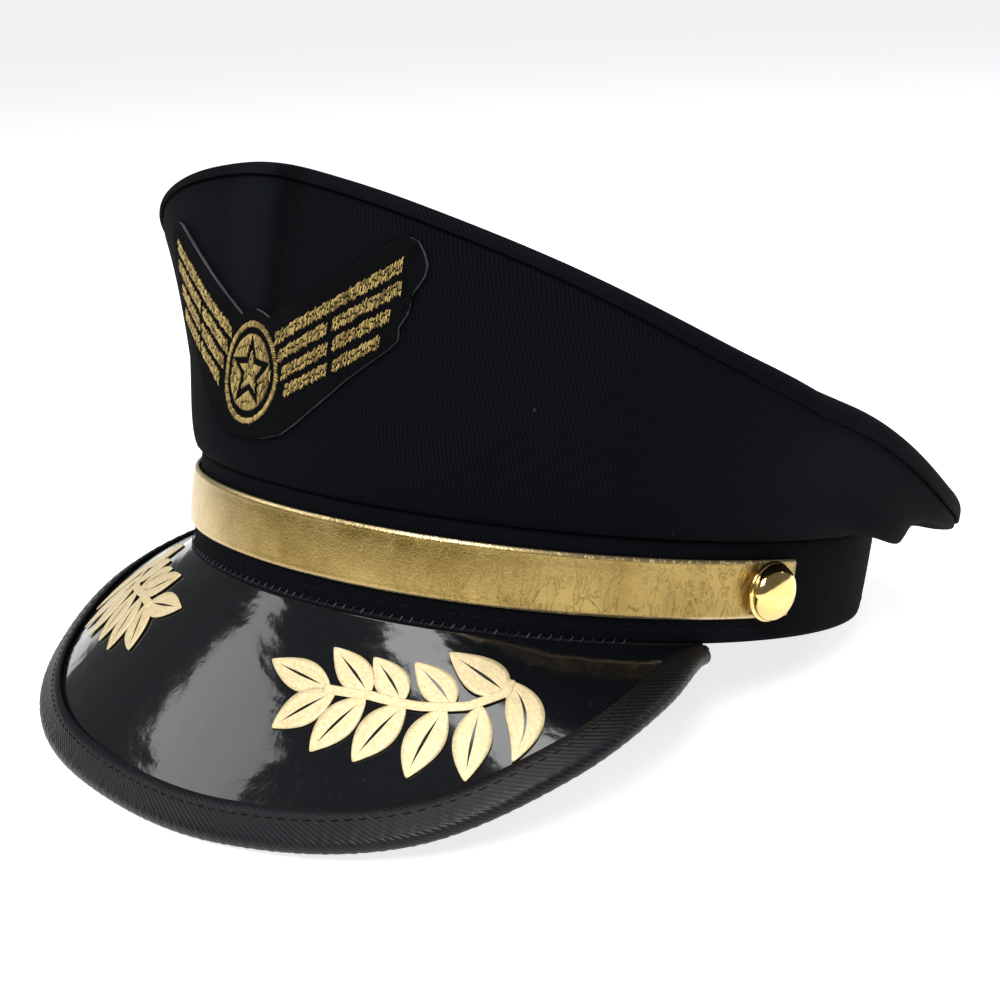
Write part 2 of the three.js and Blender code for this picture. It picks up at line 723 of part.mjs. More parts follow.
// Lean back until the peak's binding and the back of the band's lower edge both touch the floor
function restLean() {
  const heel = bandSurface(180, 0).y;
  const binding = cap.getObjectByName('peak_binding').geometry.attributes.position;
  let lean = 0;
  for (let i = 0; i < binding.count; i += 1) {
    lean = Math.max(lean, Math.atan2(-binding.getZ(i), heel - binding.getY(i)));
  }
  return lean;
}

cap.rotation.x = -restLean();
cap.updateMatrixWorld(true);
const box = new THREE.Box3().setFromObject(cap, true);
const middle = box.getCenter(new THREE.Vector3());
cap.position.set(-middle.x, -middle.y, -box.min.z);

const group = new THREE.Group();
group.add(cap);

export default group;
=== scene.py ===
import math

import bpy
import numpy as np
from mathutils import Matrix, Vector


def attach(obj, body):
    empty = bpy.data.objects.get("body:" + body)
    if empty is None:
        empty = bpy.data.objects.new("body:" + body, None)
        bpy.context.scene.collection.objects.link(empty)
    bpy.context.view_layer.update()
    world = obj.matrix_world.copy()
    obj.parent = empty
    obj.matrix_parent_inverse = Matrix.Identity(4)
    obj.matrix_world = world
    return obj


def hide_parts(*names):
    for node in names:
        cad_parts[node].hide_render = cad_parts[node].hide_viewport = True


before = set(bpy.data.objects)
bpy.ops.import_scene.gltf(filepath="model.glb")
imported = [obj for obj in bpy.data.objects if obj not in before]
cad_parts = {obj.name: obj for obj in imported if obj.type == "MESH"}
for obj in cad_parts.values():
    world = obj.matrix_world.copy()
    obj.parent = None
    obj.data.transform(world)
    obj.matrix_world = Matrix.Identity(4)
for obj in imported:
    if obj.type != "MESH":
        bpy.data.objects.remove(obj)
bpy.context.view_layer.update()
print("frame loaded")

# Lengths are millimetres in the cap's own frame: -Y front, +X the wearer's left, and Z = 0 the
# lower edge of the head band. Angles go round the cap in degrees from the front.
# The finished cap leans back on its peak and on the rear of its band.
rest = {"lean": 12.8421, "y": 11.1321, "z": 23.56}
gap = 0.3


def toWorld(points):
    # turn about X by the lean, move, and change to metres
    lean = math.radians(rest["lean"])
    x, y, z = np.moveaxis(np.asarray(points, float), -1, 0)
    across = y * math.cos(lean) + z * math.sin(lean) + rest["y"]
    height = z * math.cos(lean) - y * math.sin(lean) + rest["z"]
    return np.stack([x, across, height], -1) / 1000


# Camera of the photograph, solved in the cap's own frame
shot = {
    "azimuth": 48.022, "elevation": 8.625, "roll": 7.519, "distance": 516.174,
    "right": -13.097, "up": 17.889, "focalPixels": 1739.387, "imagePixels": 1000, "sensor": 36,
}


def makeCamera():
    azimuth = math.radians(shot["azimuth"])
    elevation = math.radians(shot["elevation"])
    roll = math.radians(shot["roll"])
    right = np.array([math.cos(azimuth), math.sin(azimuth), 0])
    level = np.array([math.sin(azimuth), -math.cos(azimuth), 0])
    back = level * math.cos(elevation) + np.array([0, 0, math.sin(elevation)])
    up = np.cross(back, right)
    place = back * shot["distance"] + right * shot["right"] + up * shot["up"]
    turnedRight = right * math.cos(roll) + up * math.sin(roll)
    turnedUp = up * math.cos(roll) - right * math.sin(roll)
    spot = toWorld(place)
    axes = [(toWorld(place + axis) - spot) * 1000 for axis in (turnedRight, turnedUp, back)]
    data = bpy.data.cameras.new("camera")
    data.sensor_width = shot["sensor"]
    data.lens = shot["focalPixels"] / shot["imagePixels"] * shot["sensor"]
    data.clip_start = 0.01
    camera = bpy.data.objects.new("camera", data)
    bpy.context.scene.collection.objects.link(camera)
    rows = [[axes[0][k], axes[1][k], axes[2][k], spot[k]] for k in range(3)]
    camera.matrix_world = Matrix(rows + [[0, 0, 0, 1]])
    bpy.context.scene.camera = camera


makeCamera()

# Shape of the cap, shared by its pieces

band = {
    "half": 87, "front": 104, "rear": 106, "round": 2.05, "centre": 0,
    "height": 26.5, "flare": 0.02, "wall": 2.4,
}
crown = {
    "half": 119.9, "front": 77.3, "rear": 148.6, "round": 2.12, "centre": -30,
    "rise": 78.5, "lap": 0.5, "bulge": 1.6, "flare": 0.15, "wall": 1.8, "lipWall": 1,
    "roll": 2.8, "drop": 3, "dome": 1.5, "fold": 3.4, "sag": 4.6, "cuff": 2.8, "foot": band["height"] + gap,
}
rim = {
    "at": [0, 12, 25, 45, 70, 95, 120, 150, 180],
    "rise": [1, 0.973, 0.92, 0.813, 0.65, 0.495, 0.232, 0.085, 0.09],
    "drop": [0.2, 0.2, 0.22, 0.3, 0.6, 0.8, 0.8, 0.9, 0.9],
    "roll": [1, 1, 1, 1, 1.05, 1.2, 1.6, 1.85, 1.85],
    "sag": [0, 0, 0, 0, 0.03, 0.25, 1, 0.42, 0.34],
}
folds = {
    "at": [8, -1, 114, 131, 144, 162, -106, -122, -138, -156],
    "spread": [6, 6, 10, 8, 8, 9, 9, 8, 8, 8],
    "depth": [0.22, -0.18, 0.8, -0.6, 0.8, -0.6, -0.45, 0.8, -0.8, 0.6],
}
peak = {"width": 61.4, "slope": 57.5, "bow": 1.6, "wall": 2.2, "end": 80}
peakRows = {
    "at": [0, 20, 40, 55, 68, 76, 81],
    "width": [1, 0.989, 0.885, 0.64, 0.32, 0.095, 0.015],
    "slope": [1, 0.95, 0.81, 0.58, 0.38, 0.3, 0.25],
}


def fromTable(table, column, angle):
    # cubic curve through the rows of a table, level at 0 and at 180
    xs = np.array(table["at"], float)
    ys = np.array(table[column], float)
    slopes = np.zeros_like(ys)
    slopes[1:-1] = (ys[2:] - ys[:-2]) / (xs[2:] - xs[:-2])
    if xs[-1] < 180:
        slopes[-1] = (ys[-1] - ys[-2]) / (xs[-1] - xs[-2])
    place = np.clip(np.abs(angle), xs[0], xs[-1])
    row = np.clip(np.searchsorted(xs, place, side="right") - 1, 0, len(xs) - 2)
    span = xs[row + 1] - xs[row]
    t = (place - xs[row]) / span
    low = (2 * t**3 - 3 * t**2 + 1) * ys[row] + (t**3 - 2 * t**2 + t) * span * slopes[row]
    high = (3 * t**2 - 2 * t**3) * ys[row + 1] + (t**3 - t**2) * span * slopes[row + 1]
    return low + high


def turned(angle):
    # the same angle between -180 and 180
    return (np.asarray(angle, float) + 180) % 360 - 180


def upward(height):
    # points on the Z axis, one for each height
    height = np.asarray(height, float)
    return np.stack([0 * height, 0 * height, height], -1)


def ringPoint(ring, angle, grow=0):
    # ellipse squared off by its roundness n: x = a sin^(2/n), y = -b cos^(2/n)
    s = np.sin(np.radians(angle))
    c = np.cos(np.radians(angle))
    power = 2 / ring["round"]
    depth = np.where(c > 0, ring["front"], ring["rear"]) + grow
    x = (ring["half"] + grow) * np.sign(s) * np.abs(s) ** power
    y = ring["centre"] - depth * np.sign(c) * np.abs(c) ** power
    return np.stack([x, y, 0 * x], -1)


def unit(vectors):
    return vectors / np.linalg.norm(vectors, axis=-1, keepdims=True)


def ringNormal(ring, angle):
    # level direction out of a ring: the step along it, turned by a quarter
    along = ringPoint(ring, angle + 0.05) - ringPoint(ring, angle - 0.05)
    return unit(np.stack([along[..., 1], -along[..., 0], 0 * along[..., 0]], -1))


def bandSurface(angle, height, out=0):
    # band's ring grown by the flare at that height, lifted to the height
    angle, height = np.broadcast_arrays(np.asarray(angle, float), height)
    return ringPoint(band, angle, band["flare"] * height + out) + upward(height)


def rollAt(angle):
    # radius of the rolled edge at an angle
    return crown["roll"] * fromTable(rim, "roll", turned(angle))


def rollAxis(angle):
    # middle of the rolled edge: half a radius in from the ring, one radius under the rim
    rise = crown["rise"] * fromTable(rim, "rise", turned(angle))
    inward = -rollAt(angle)[..., None] / 2 * ringNormal(crown, angle)
    return ringPoint(crown, angle) + inward + upward(crown["foot"] + rise - rollAt(angle))


def rimTop(angle):
    # highest line of the rolled edge, one radius over its middle
    return rollAxis(angle) + upward(rollAt(angle))


def seamPoint(angle):
    # lower edge of the lip: one radius out from the roll's middle, lowered by the drop
    drop = crown["drop"] * fromTable(rim, "drop", turned(angle))
    return rollAxis(angle) + rollAt(angle)[..., None] * ringNormal(crown, angle) - upward(drop)


def sideHead(angle):
    # upper edge of the crown side, behind the lip by its wall and a gap
    inward = (crown["lipWall"] + gap) * ringNormal(crown, angle)
    return seamPoint(angle) - inward + upward(gap + 0 * angle)


def foldOut(angle, rise):
    # sum of bells round the cap and the hang of the cloth, faded to nothing at band and seam
    angle, rise = np.broadcast_arrays(np.asarray(angle, float), rise)
    late = np.clip((rise - 0.6) / 0.4, 0, 1)
    hang = crown["sag"] * np.sin(np.pi * np.clip(rise / 0.55, 0, 1)) ** 2
    cuff = crown["cuff"] * 6.75 * late**2 * (1 - late)
    soft = fromTable(rim, "sag", turned(angle)) * (hang + cuff)
    total = 0 * angle
    for at, spread, depth in zip(folds["at"], folds["spread"], folds["depth"]):
        total = total + depth * np.exp(-((turned(angle - at) / spread) ** 2))
    return soft + crown["fold"] * total * np.sin(np.pi * rise) ** 2


def sideSurface(angle, rise):
    # straight rise from band to seam, leaning out as the square of the rise, with bulge and folds
    angle, rise = np.broadcast_arrays(np.asarray(angle, float), np.asarray(rise, float))
    spread = band["flare"] * band["height"] + crown["lap"]
    foot = ringPoint(band, angle, spread) + upward(crown["foot"] + 0 * angle)
    head = sideHead(angle)
    out = ringNormal(crown, angle)
    lean = ((1 - crown["flare"]) * rise + crown["flare"] * rise**2)[..., None]
    bulge = crown["bulge"] * np.sin(np.pi * np.clip(rise / 0.35, 1e-9, 1) ** 0.5)
    near = np.clip(np.minimum(rise / 0.9, (1 - rise) / 0.1), 0, 1)
    shoulder = (crown["lipWall"] + gap) * np.sin(np.pi / 2 * near)
    flat = foot + (head - foot) * lean
    point = np.concatenate([flat[..., :2], (foot + (head - foot) * rise[..., None])[..., 2:]], -1)
    tip = np.arctan2(np.sum(out * (head - foot), -1), head[..., 2] - foot[..., 2])
    fold = foldOut(angle, rise)
    return point + out * (bulge + shoulder + np.cos(tip) * fold)[..., None] - upward(np.sin(tip) * fold)


roll = {"start": 0.06, "stop": 0.26}


def topSurface(angle, way):
    # up the lip, a quarter turn round the rolled edge, then a shallow dome to the middle
    angle, way = np.broadcast_arrays(np.asarray(angle, float), np.asarray(way, float))
    axis = rollAxis(angle)
    out = ringNormal(crown, angle)
    foot = seamPoint(angle)
    lip = np.clip(way / roll["start"], 0, 1)
    lifted = foot[..., 2] + gap + (axis[..., 2] - foot[..., 2] - gap) * lip
    lipPoint = np.concatenate([foot[..., :2], lifted[..., None]], -1)
    bend = np.pi / 2 * np.clip((way - roll["start"]) / (roll["stop"] - roll["start"]), 0, 1)
    round_ = axis + rollAt(angle)[..., None] * (out * np.cos(bend)[..., None] + upward(np.sin(bend)))
    fore, rear = rimTop(0.0), rimTop(180.0)
    fall = (rear[2] - fore[2]) / (rear[1] - fore[1])
    middle = (fore[1] + rear[1]) / 2
    level = (fore[2] + rear[2]) / 2
    share = np.clip(1 - (way - roll["stop"]) / (1 - roll["stop"]), 0, 1)
    edge = rimTop(angle)
    off = edge[..., 2] - (level + fall * (edge[..., 1] - middle))
    x = edge[..., 0] * share
    y = middle + (edge[..., 1] - middle) * share
    z = level + fall * (y - middle) + off * share**2 + crown["dome"] * (1 - share**2)
    panel = np.stack([x, y, z], -1)
    onRoll = np.where((way <= roll["stop"])[..., None], round_, panel)
    return np.where((way <= roll["start"])[..., None], lipPoint, onRoll)


def peakReach(angle):
    # depth of the peak at an angle
    return peak["width"] * fromTable(peakRows, "width", angle)


def peakSurface(angle, down, raised=0):
    # from under the band along a slope that eases to the sides, bowed up like half a sine
    angle, down = np.broadcast_arrays(np.asarray(angle, float), np.asarray(down, float))
    slope = np.radians(peak["slope"] * fromTable(peakRows, "slope", angle))
    full = peakReach(angle)
    lift = peak["bow"] / peak["width"] * full * np.sin(np.pi * np.clip(down, 0, 1)) + raised
    outward = full * down * np.cos(slope) + lift * np.sin(slope)
    rise = lift * np.cos(slope) - full * down * np.sin(slope)
    return ringPoint(band, angle) + ringNormal(band, angle) * outward[..., None] + upward(rise - gap)


def normalOf(surface, u, v):
    # cross product of the two differences of a surface
    along = surface(u + 0.05, v) - surface(u - 0.05, v)
    across = surface(u, np.clip(v + 0.002, 0, 1)) - surface(u, np.clip(v - 0.002, 0, 1))
    return unit(np.cross(along, across))


def peakNormal(angle, down):
    # direction out of the peak's upper face
    return -normalOf(peakSurface, angle, down)


front = {"scale": 1.9, "passes": 14}  # millimetres a degree at the badge, and tries


def frontPlace(across, height):
    # angle and rise on the front of the crown for a place across and above the crown's foot
    across, height = np.broadcast_arrays(np.asarray(across, float), np.asarray(height, float))
    angle = across / front["scale"]
    rise = 0 * angle
    for _ in range(front["passes"]):
        rise = height / (sideHead(angle)[..., 2] - crown["foot"])
        angle = angle + (across - sideSurface(angle, rise)[..., 0]) / front["scale"]
    return angle, rise


def frontPoint(across, height, out):
    # point over the front of the crown, moved out along its normal
    angle, rise = frontPlace(across, height)
    normal = normalOf(sideSurface, angle, rise)
    return sideSurface(angle, rise) + normal * np.asarray(out, float)[..., None]


# Meshes from grids of points


def quadRows(columns, rows, closed, start=0):
    # corners of the quads of a grid, counterclockwise where columns cross rows faces the viewer
    i, j = np.meshgrid(np.arange(columns if closed else columns - 1), np.arange(rows - 1), indexing="ij")
    k = (i + 1) % columns
    corners = np.stack([i * rows + j, k * rows + j, k * rows + j + 1, i * rows + j + 1], -1)
    return corners.reshape(-1, 4) + start


def wallFaces(columns, rows, closed, pole):
    # faces of the outer and inner grid, then of the edges that join them
    side = columns * rows
    outer = quadRows(columns, rows, closed)
    inner = quadRows(columns, rows, closed, side)[:, ::-1]
    i = np.arange(columns if closed else columns - 1)
    k = (i + 1) % columns
    low = np.stack([side + i * rows, side + k * rows, k * rows, i * rows], -1)
    faces = [outer, inner, low]
    if not pole:
        first, second = i * rows + rows - 1, k * rows + rows - 1
        faces.append(np.stack([first, second, side + second, side + first], -1))
    if not closed:
        j = np.arange(rows - 1)
        end = (columns - 1) * rows
        faces.append(np.stack([side + j, j, j + 1, side + j + 1], -1))
        faces.append(np.stack([end + j, side + end + j, side + end + j + 1, end + j + 1], -1))
    return faces


def makeObject(name, points, faces, material, uv=None, wrap=None):
    # faces is a list of index arrays or lists; uv holds one pair for each point, and wrap is the
    # length after which its first number starts again
    data = bpy.data.meshes.new(name)
    flat = [list(map(int, face)) for face in faces]
    data.from_pydata(toWorld(points.reshape(-1, 3)).tolist(), [], flat)
    if uv is not None:
        corners = np.empty(len(data.loops), dtype=np.int32)
        data.loops.foreach_get("vertex_index", corners)
        values = uv.reshape(-1, 2)[corners]
        if wrap is not None:
            owner = np.repeat(np.arange(len(flat)), [len(face) for face in flat])
            highest = np.full(len(flat), -1e9)
            np.maximum.at(highest, owner, values[:, 0])
            values[:, 0] += np.where(highest[owner] - values[:, 0] > wrap / 2, wrap, 0)
        layer = data.uv_layers.new(name="cloth")
        layer.data.foreach_set("uv", values.astype(np.float32).ravel())
    data.shade_smooth()
    data.update()
    piece = bpy.data.objects.new(name, data)
    bpy.context.scene.collection.objects.link(piece)
    materials = material if isinstance(material, (list, tuple)) else [material]
    for one in materials:
        data.materials.append(one)
    return piece


def lengthUv(outer):
    # distance round the middle row and up the mean column, in metres
    middle = outer[:, outer.shape[1] // 2]
    roundSteps = np.linalg.norm(np.diff(middle, axis=0, append=middle[:1]), axis=-1)
    upSteps = np.linalg.norm(np.diff(outer, axis=1), axis=-1).mean(0)
    u = np.concatenate([[0], np.cumsum(roundSteps)[:-1]]) / 1000
    v = np.concatenate([[0], np.cumsum(upSteps)]) / 1000
    grid = np.stack(np.meshgrid(u, v, indexing="ij"), -1)
    return grid, roundSteps.sum() / 1000


def makeWall(name, outer, inner, material, closed=False, pole=False):
    # closed skin over an outer and an inner grid, columns going round and rows going up
    columns, rows = outer.shape[:2]
    points = np.concatenate([outer.reshape(-1, 3), inner.reshape(-1, 3)])
    faces = [row for block in wallFaces(columns, rows, closed, pole) for row in block.tolist()]
    grid, around = lengthUv(outer)
    uv = np.concatenate([grid.reshape(-1, 2), grid.reshape(-1, 2)])
    if pole:
        last = rows - 1
        faces.append([i * rows + last for i in range(columns)])
        faces.append([columns * rows + i * rows + last for i in range(columns)][::-1])
    return makeObject(name, points, faces, material, uv, around if closed else None)


def dress(piece, slot, *nodes):
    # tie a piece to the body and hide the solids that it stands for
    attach(piece, "root")
    if nodes:
        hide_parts(*nodes)


# Shader building


class Term:
    # a socket that adds, subtracts, multiplies and divides like a number
    def __init__(self, tree, socket):
        self.tree = tree
        self.socket = socket

    def node(self, kind, settings=None, inputs=None, output=0):
        made = self.tree.nodes.new(kind)
        for key, value in (settings or {}).items():
            setattr(made, key, value)
        for key, value in (inputs or {}).items():
            if isinstance(value, Term):
                self.tree.links.new(value.socket, made.inputs[key])
            else:
                made.inputs[key].default_value = value
        return Term(self.tree, made.outputs[output])

    def math(self, operation, *others):
        inputs = {k: value for k, value in enumerate((self, *others))}
        return self.node("ShaderNodeMath", {"operation": operation}, inputs)

    def reflected(self, operation, first):
        return self.node("ShaderNodeMath", {"operation": operation}, {0: first, 1: self})

    def __add__(self, other):
        return self.math("ADD", other)

    def __radd__(self, other):
        return self.reflected("ADD", other)

    def __sub__(self, other):
        return self.math("SUBTRACT", other)

    def __rsub__(self, other):
        return self.reflected("SUBTRACT", other)

    def __mul__(self, other):
        return self.math("MULTIPLY", other)

    def __rmul__(self, other):
        return self.reflected("MULTIPLY", other)

    def __truediv__(self, other):
        return self.math("DIVIDE", other)

    def __rtruediv__(self, other):
        return self.reflected("DIVIDE", other)

    def between(self, low, high):
        # 0 below low, 1 above high
        inputs = {"Value": self, "From Min": low, "From Max": high}
        return self.node("ShaderNodeMapRange", {"clamp": True}, inputs)

    def mixColours(self, first, second):
        # first where this term is 0, second where it is 1
        first, second = (c if isinstance(c, Term) else (*c, 1) for c in (first, second))
        return self.node("ShaderNodeMix", {"data_type": "RGBA"}, {0: self, 6: first, 7: second}, 2)


def newMaterial(name, constants):
    # a material, its principled shader, and a way to start terms from a node
    material = bpy.data.materials.new(name)
    material.use_nodes = True
    tree = material.node_tree
    shader = tree.nodes["Principled BSDF"]
    for key, value in constants.items():
        shader.inputs[key].default_value = value
    return material, shader, Term(tree, None)


def plug(shader, **terms):
    # link terms to the shader
    names = {
        "colour": "Base Color", "roughness": "Roughness", "metallic": "Metallic", "normal": "Normal",
    }
    for key, term in terms.items():
        term.tree.links.new(term.socket, shader.inputs[names[key]])


def bump(start, height, distance, strength=1):
    inputs = {"Height": height, "Distance": distance, "Strength": strength}
    return start.node("ShaderNodeBump", None, inputs)


def uvParts(start):
    # the piece's own map, and its two numbers
    uv = start.node("ShaderNodeUVMap", {"uv_map": "cloth"})
    u, v = (uv.node("ShaderNodeSeparateXYZ", None, {0: uv}, axis) for axis in "XY")
    return uv, u, v


def objectCoords(start):
    return start.node("ShaderNodeTexCoord", None, None, "Object")


def noise(coords, scale, detail=2, roughness=0.5, distortion=0):
    inputs = {
        "Vector": coords, "Scale": scale, "Detail": detail, "Roughness": roughness,
        "Distortion": distortion,
    }
    return coords.node("ShaderNodeTexNoise", None, inputs)


def stretched(coords, x, y, z):
    return coords.node("ShaderNodeVectorMath", {"operation": "MULTIPLY"}, {0: coords, 1: (x, y, z)})


def ripple(u, v, pitch, angle):
    # sine stripes across a direction, from -1 to 1
    turn = math.radians(angle)
    along = u * (math.cos(turn) * math.tau / pitch) + v * (math.sin(turn) * math.tau / pitch)
    return along.math("SINE")


# Materials

cloths = {
    "crownTwill": {"gloss": 0.04, "rough": 0.78, "pitch": 0.00095, "angle": 32, "crease": 14,
                   "dark": (0.0006, 0.0008, 0.0013), "pale": (0.0033, 0.0041, 0.0064)},
    "bandTwill": {"gloss": 0.04, "rough": 0.78, "pitch": 0.00095, "angle": 32, "crease": 0,
                  "dark": (0.0007, 0.0009, 0.0013), "pale": (0.0034, 0.004, 0.0058)},
    "edgeTape": {"gloss": 0.22, "rough": 0.3, "pitch": 0.0009, "angle": 60, "crease": 0,
                 "dark": (0.001, 0.0012, 0.0018), "pale": (0.0055, 0.0063, 0.0085)},
}


def twill(name):
    spec = cloths[name]
    material, shader, start = newMaterial(name, {"Specular IOR Level": spec["gloss"]})
    _, u, v = uvParts(start)
    coords = objectCoords(start)
    wander = noise(coords, 60, 3) * 0.0012
    rib = ripple(u + wander, v, spec["pitch"], spec["angle"])
    cross = ripple(u, v, spec["pitch"] * 0.7, spec["angle"] - 90)
    weave = rib * 0.9 + cross * 0.1
    cloudy = noise(coords, 22, 4, 0.6)
    fuzz = noise(coords, 1600, 2, 0.7)
    tone = (weave * 0.5 + 0.5) * 0.45 + cloudy * 0.35 + fuzz * 0.2
    height = weave * 0.4 + fuzz * 0.8 + noise(coords, 140, 3) * 1.5
    if spec["crease"]:
        x, y, z = (coords.node("ShaderNodeSeparateXYZ", None, {0: coords}, axis) for axis in "XYZ")
        bend = noise(coords, 14, 1) * 0.012 - 0.006
        hollow = (x + bend - 0.010).math("ABSOLUTE").between(0.008, 0.0)
        swell = (x + bend + 0.005).math("ABSOLUTE").between(0.012, 0.0)
        fold = (swell - hollow) * y.between(-0.03, -0.06) * z.between(0.085, 0.13)
        height = height + fold * spec["crease"]
        # the fold also lightens the swell and darkens the hollow in the colour: painted highlight and painted
        # shade of a soft fold
        tone = tone + fold * 0.6
    lint = noise(stretched(coords, 1, 1, 0.35), 520, 1).between(0.83, 0.86)
    colour = tone.between(0.2, 0.85).mixColours(spec["dark"], spec["pale"])
    colour = (lint * 0.5).mixColours(colour, (0.05, 0.056, 0.066))
    normal = bump(start, height, 0.00012, 0.7)
    plug(shader, colour=colour, roughness=spec["rough"] + cloudy * 0.2, normal=normal)
    return material


def goldLeather():
    material, shader, start = newMaterial("goldLeather", {"Specular IOR Level": 0.5, "Metallic": 0.92})
    uv, u, v = uvParts(start)
    coords = objectCoords(start)
    cells = {"Vector": coords, "Scale": 900}
    grain = coords.node("ShaderNodeTexVoronoi", {"feature": "DISTANCE_TO_EDGE"}, cells)
    crease = noise(stretched(uv, 260, 90, 1), 1, 5, 0.65, 1.2)
    crackle = (crease - 0.5).math("ABSOLUTE").between(0.0, 0.02)
    cloudy = noise(uv, 35, 3, 0.6)
    # deep bronze mottled at random; its depth stands for the dim reflection on the front and left of the
    # strap: painted reflection
    dimReflectionMottle = cloudy.between(0.35, 0.7).mixColours((0.24, 0.16, 0.042), (0.47, 0.34, 0.12))
    # pale lines along both edges of the strap, where the beads catch the light: painted highlight
    rim = (v - 0.0143).math("ABSOLUTE").between(0.0067, 0.0072)
    # pale at the wearer's right end, deep from the front to the wearer's left end: painted reflection of
    # bright and dim surroundings
    reflectionSweep = u.between(-0.075, 0.01).mixColours((0.70, 0.55, 0.29), dimReflectionMottle)
    edgeHighlighted = (rim * 0.5).mixColours(reflectionSweep, (0.85, 0.68, 0.4))
    colour = (crackle * 0.16 + 0.84).mixColours((0.14, 0.085, 0.03), edgeHighlighted)
    scuffed = u.between(0.03, 0.09)
    height = crackle * (scuffed * 0.35 + 0.08) + grain.between(0.0, 0.12) * 0.15 + noise(coords, 700, 3) * 0.3
    rough = 0.24 + (1 - crackle) * 0.12 + cloudy * 0.14
    plug(shader, colour=colour, roughness=rough, normal=bump(start, height, 0.00016, 0.8))
    return material


def brass():
    material, shader, start = newMaterial("polishedBrass", {"Metallic": 1.0})
    coords = objectCoords(start)
    smear = noise(coords, 180, 4, 0.6)
    colour = smear.between(0.3, 0.75).mixColours((0.80, 0.55, 0.19), (0.92, 0.70, 0.30))
    height = noise(coords, 900, 2)
    plug(shader, colour=colour, roughness=0.07 + smear * 0.08, normal=bump(start, height, 0.00002, 0.3))
    return material


def patent():
    material, shader, start = newMaterial("patentBlack", {"Specular IOR Level": 0.55})
    coords = objectCoords(start)
    waves = noise(coords, 26, 3, 0.5, 0.6)
    peel = noise(coords, 320, 2, 0.5)
    dust = noise(coords, 900, 2, 0.7).between(0.62, 0.8)
    colour = (dust * 0.3).mixColours((0.0035, 0.004, 0.005), (0.03, 0.032, 0.036))
    height = waves * 1.6 + peel * 0.08
    plug(shader, colour=colour, roughness=0.1 + dust * 0.1, normal=bump(start, height, 0.0009, 0.6))
    return material


def foil():
    material, shader, start = newMaterial("paleFoil", {"Specular IOR Level": 0.6})
    _, u, v = uvParts(start)
    coords = objectCoords(start)
    cells = {"Vector": coords, "Scale": 1500}
    glitter = coords.node("ShaderNodeTexVoronoi", {"feature": "F1"}, cells, "Color")
    spark = glitter.node("ShaderNodeSeparateXYZ", None, {0: glitter})
    fine = noise(coords, 420, 4, 0.7)
    slitHalf = ((v.math("SINE") - 0.35) * 0.13 + 0.0001).math("MAXIMUM", 0.0001)
    slit = (u.math("ABSOLUTE") / slitHalf).between(0.85, 1.15)
    gold = (spark * 0.5 + fine * 0.5).between(0.25, 0.8).mixColours((0.56, 0.44, 0.235), (0.70, 0.58, 0.345))
    colour = slit.mixColours((0.006, 0.006, 0.007), gold)
    height = fine * 0.6 + spark * 0.5
    plug(shader, colour=colour, metallic=slit * 0.3, roughness=0.12 + slit * 0.4,
         normal=bump(start, height, 0.00005, 0.4))
    return material


def felt(name, dark, pale):
    material, shader, start = newMaterial(name, {"Specular IOR Level": 0.03})
    coords = objectCoords(start)
    fibre = noise(stretched(coords, 1, 1, 2.2), 900, 4, 0.8)
    clump = noise(coords, 160, 3, 0.6)
    colour = (fibre * 0.6 + clump * 0.4).between(0.3, 0.75).mixColours(dark, pale)
    plug(shader, colour=colour, roughness=0.85 + clump * 0.15, normal=bump(start, fibre + clump, 0.0003, 0.9))
    return material


def thread(name, dark, pale, metallic, rough):
    constants = {"Metallic": metallic, "Specular IOR Level": 0.5 if metallic else 0.1}
    material, shader, start = newMaterial(name, constants)
    tone = start.node("ShaderNodeAttribute", {"attribute_name": "tone"}, None, "Fac")
    coords = objectCoords(start)
    twist = noise(stretched(coords, 1, 1, 3), 1700, 2, 0.6)
    mixed = (tone * 0.65 + twist * 0.35).between(0.15, 0.85)
    colour = mixed.mixColours(dark, pale)
    plug(shader, colour=colour, roughness=rough + twist * 0.2, normal=bump(start, twist, 0.00006, 0.8))
    return material


twillCrown = twill("crownTwill")
twillBand = twill("bandTwill")
twillTape = twill("edgeTape")
strapGold = goldLeather()
buttonBrass = brass()
peakPatent = patent()
sprayFoil = foil()
patchFelt = felt("patchFelt", (0.0008, 0.0009, 0.0012), (0.0042, 0.0045, 0.0055))
# paler copy of the felt for the patch's cut edge: painted highlight along the edge
patchEdgeHighlight = felt("patchEdgeHighlight", (0.02, 0.021, 0.024), (0.09, 0.093, 0.10))
goldThread = thread("goldThread", (0.085, 0.055, 0.013), (0.52, 0.38, 0.125), 0.6, 0.3)
blackThread = thread("blackThread", (0.0012, 0.0014, 0.002), (0.006, 0.0066, 0.0082), 0.0, 0.8)
jointThread = thread("jointThread", (0.01, 0.011, 0.014), (0.06, 0.063, 0.074), 0.0, 0.6)
print("materials made")

# Crown

crownGrid = {"columns": 440, "sideRows": 72, "lipRows": 4, "rollRows": 12, "panelRows": 34}
columns = -180 + 360 * np.arange(crownGrid["columns"])[:, None] / crownGrid["columns"]

rises = np.linspace(0, 1, crownGrid["sideRows"])[None, :]
sideOuter = sideSurface(columns, rises)
sideInner = sideOuter - crown["wall"] * normalOf(sideSurface, columns, rises)
sideInner[:, 0] = sideOuter[:, 0] - crown["wall"] * ringNormal(band, columns[:, 0])
crownCloth = makeWall("crown_cloth", sideOuter, sideInner, twillCrown, closed=True)
dress(crownCloth, "twill", "crown_side")

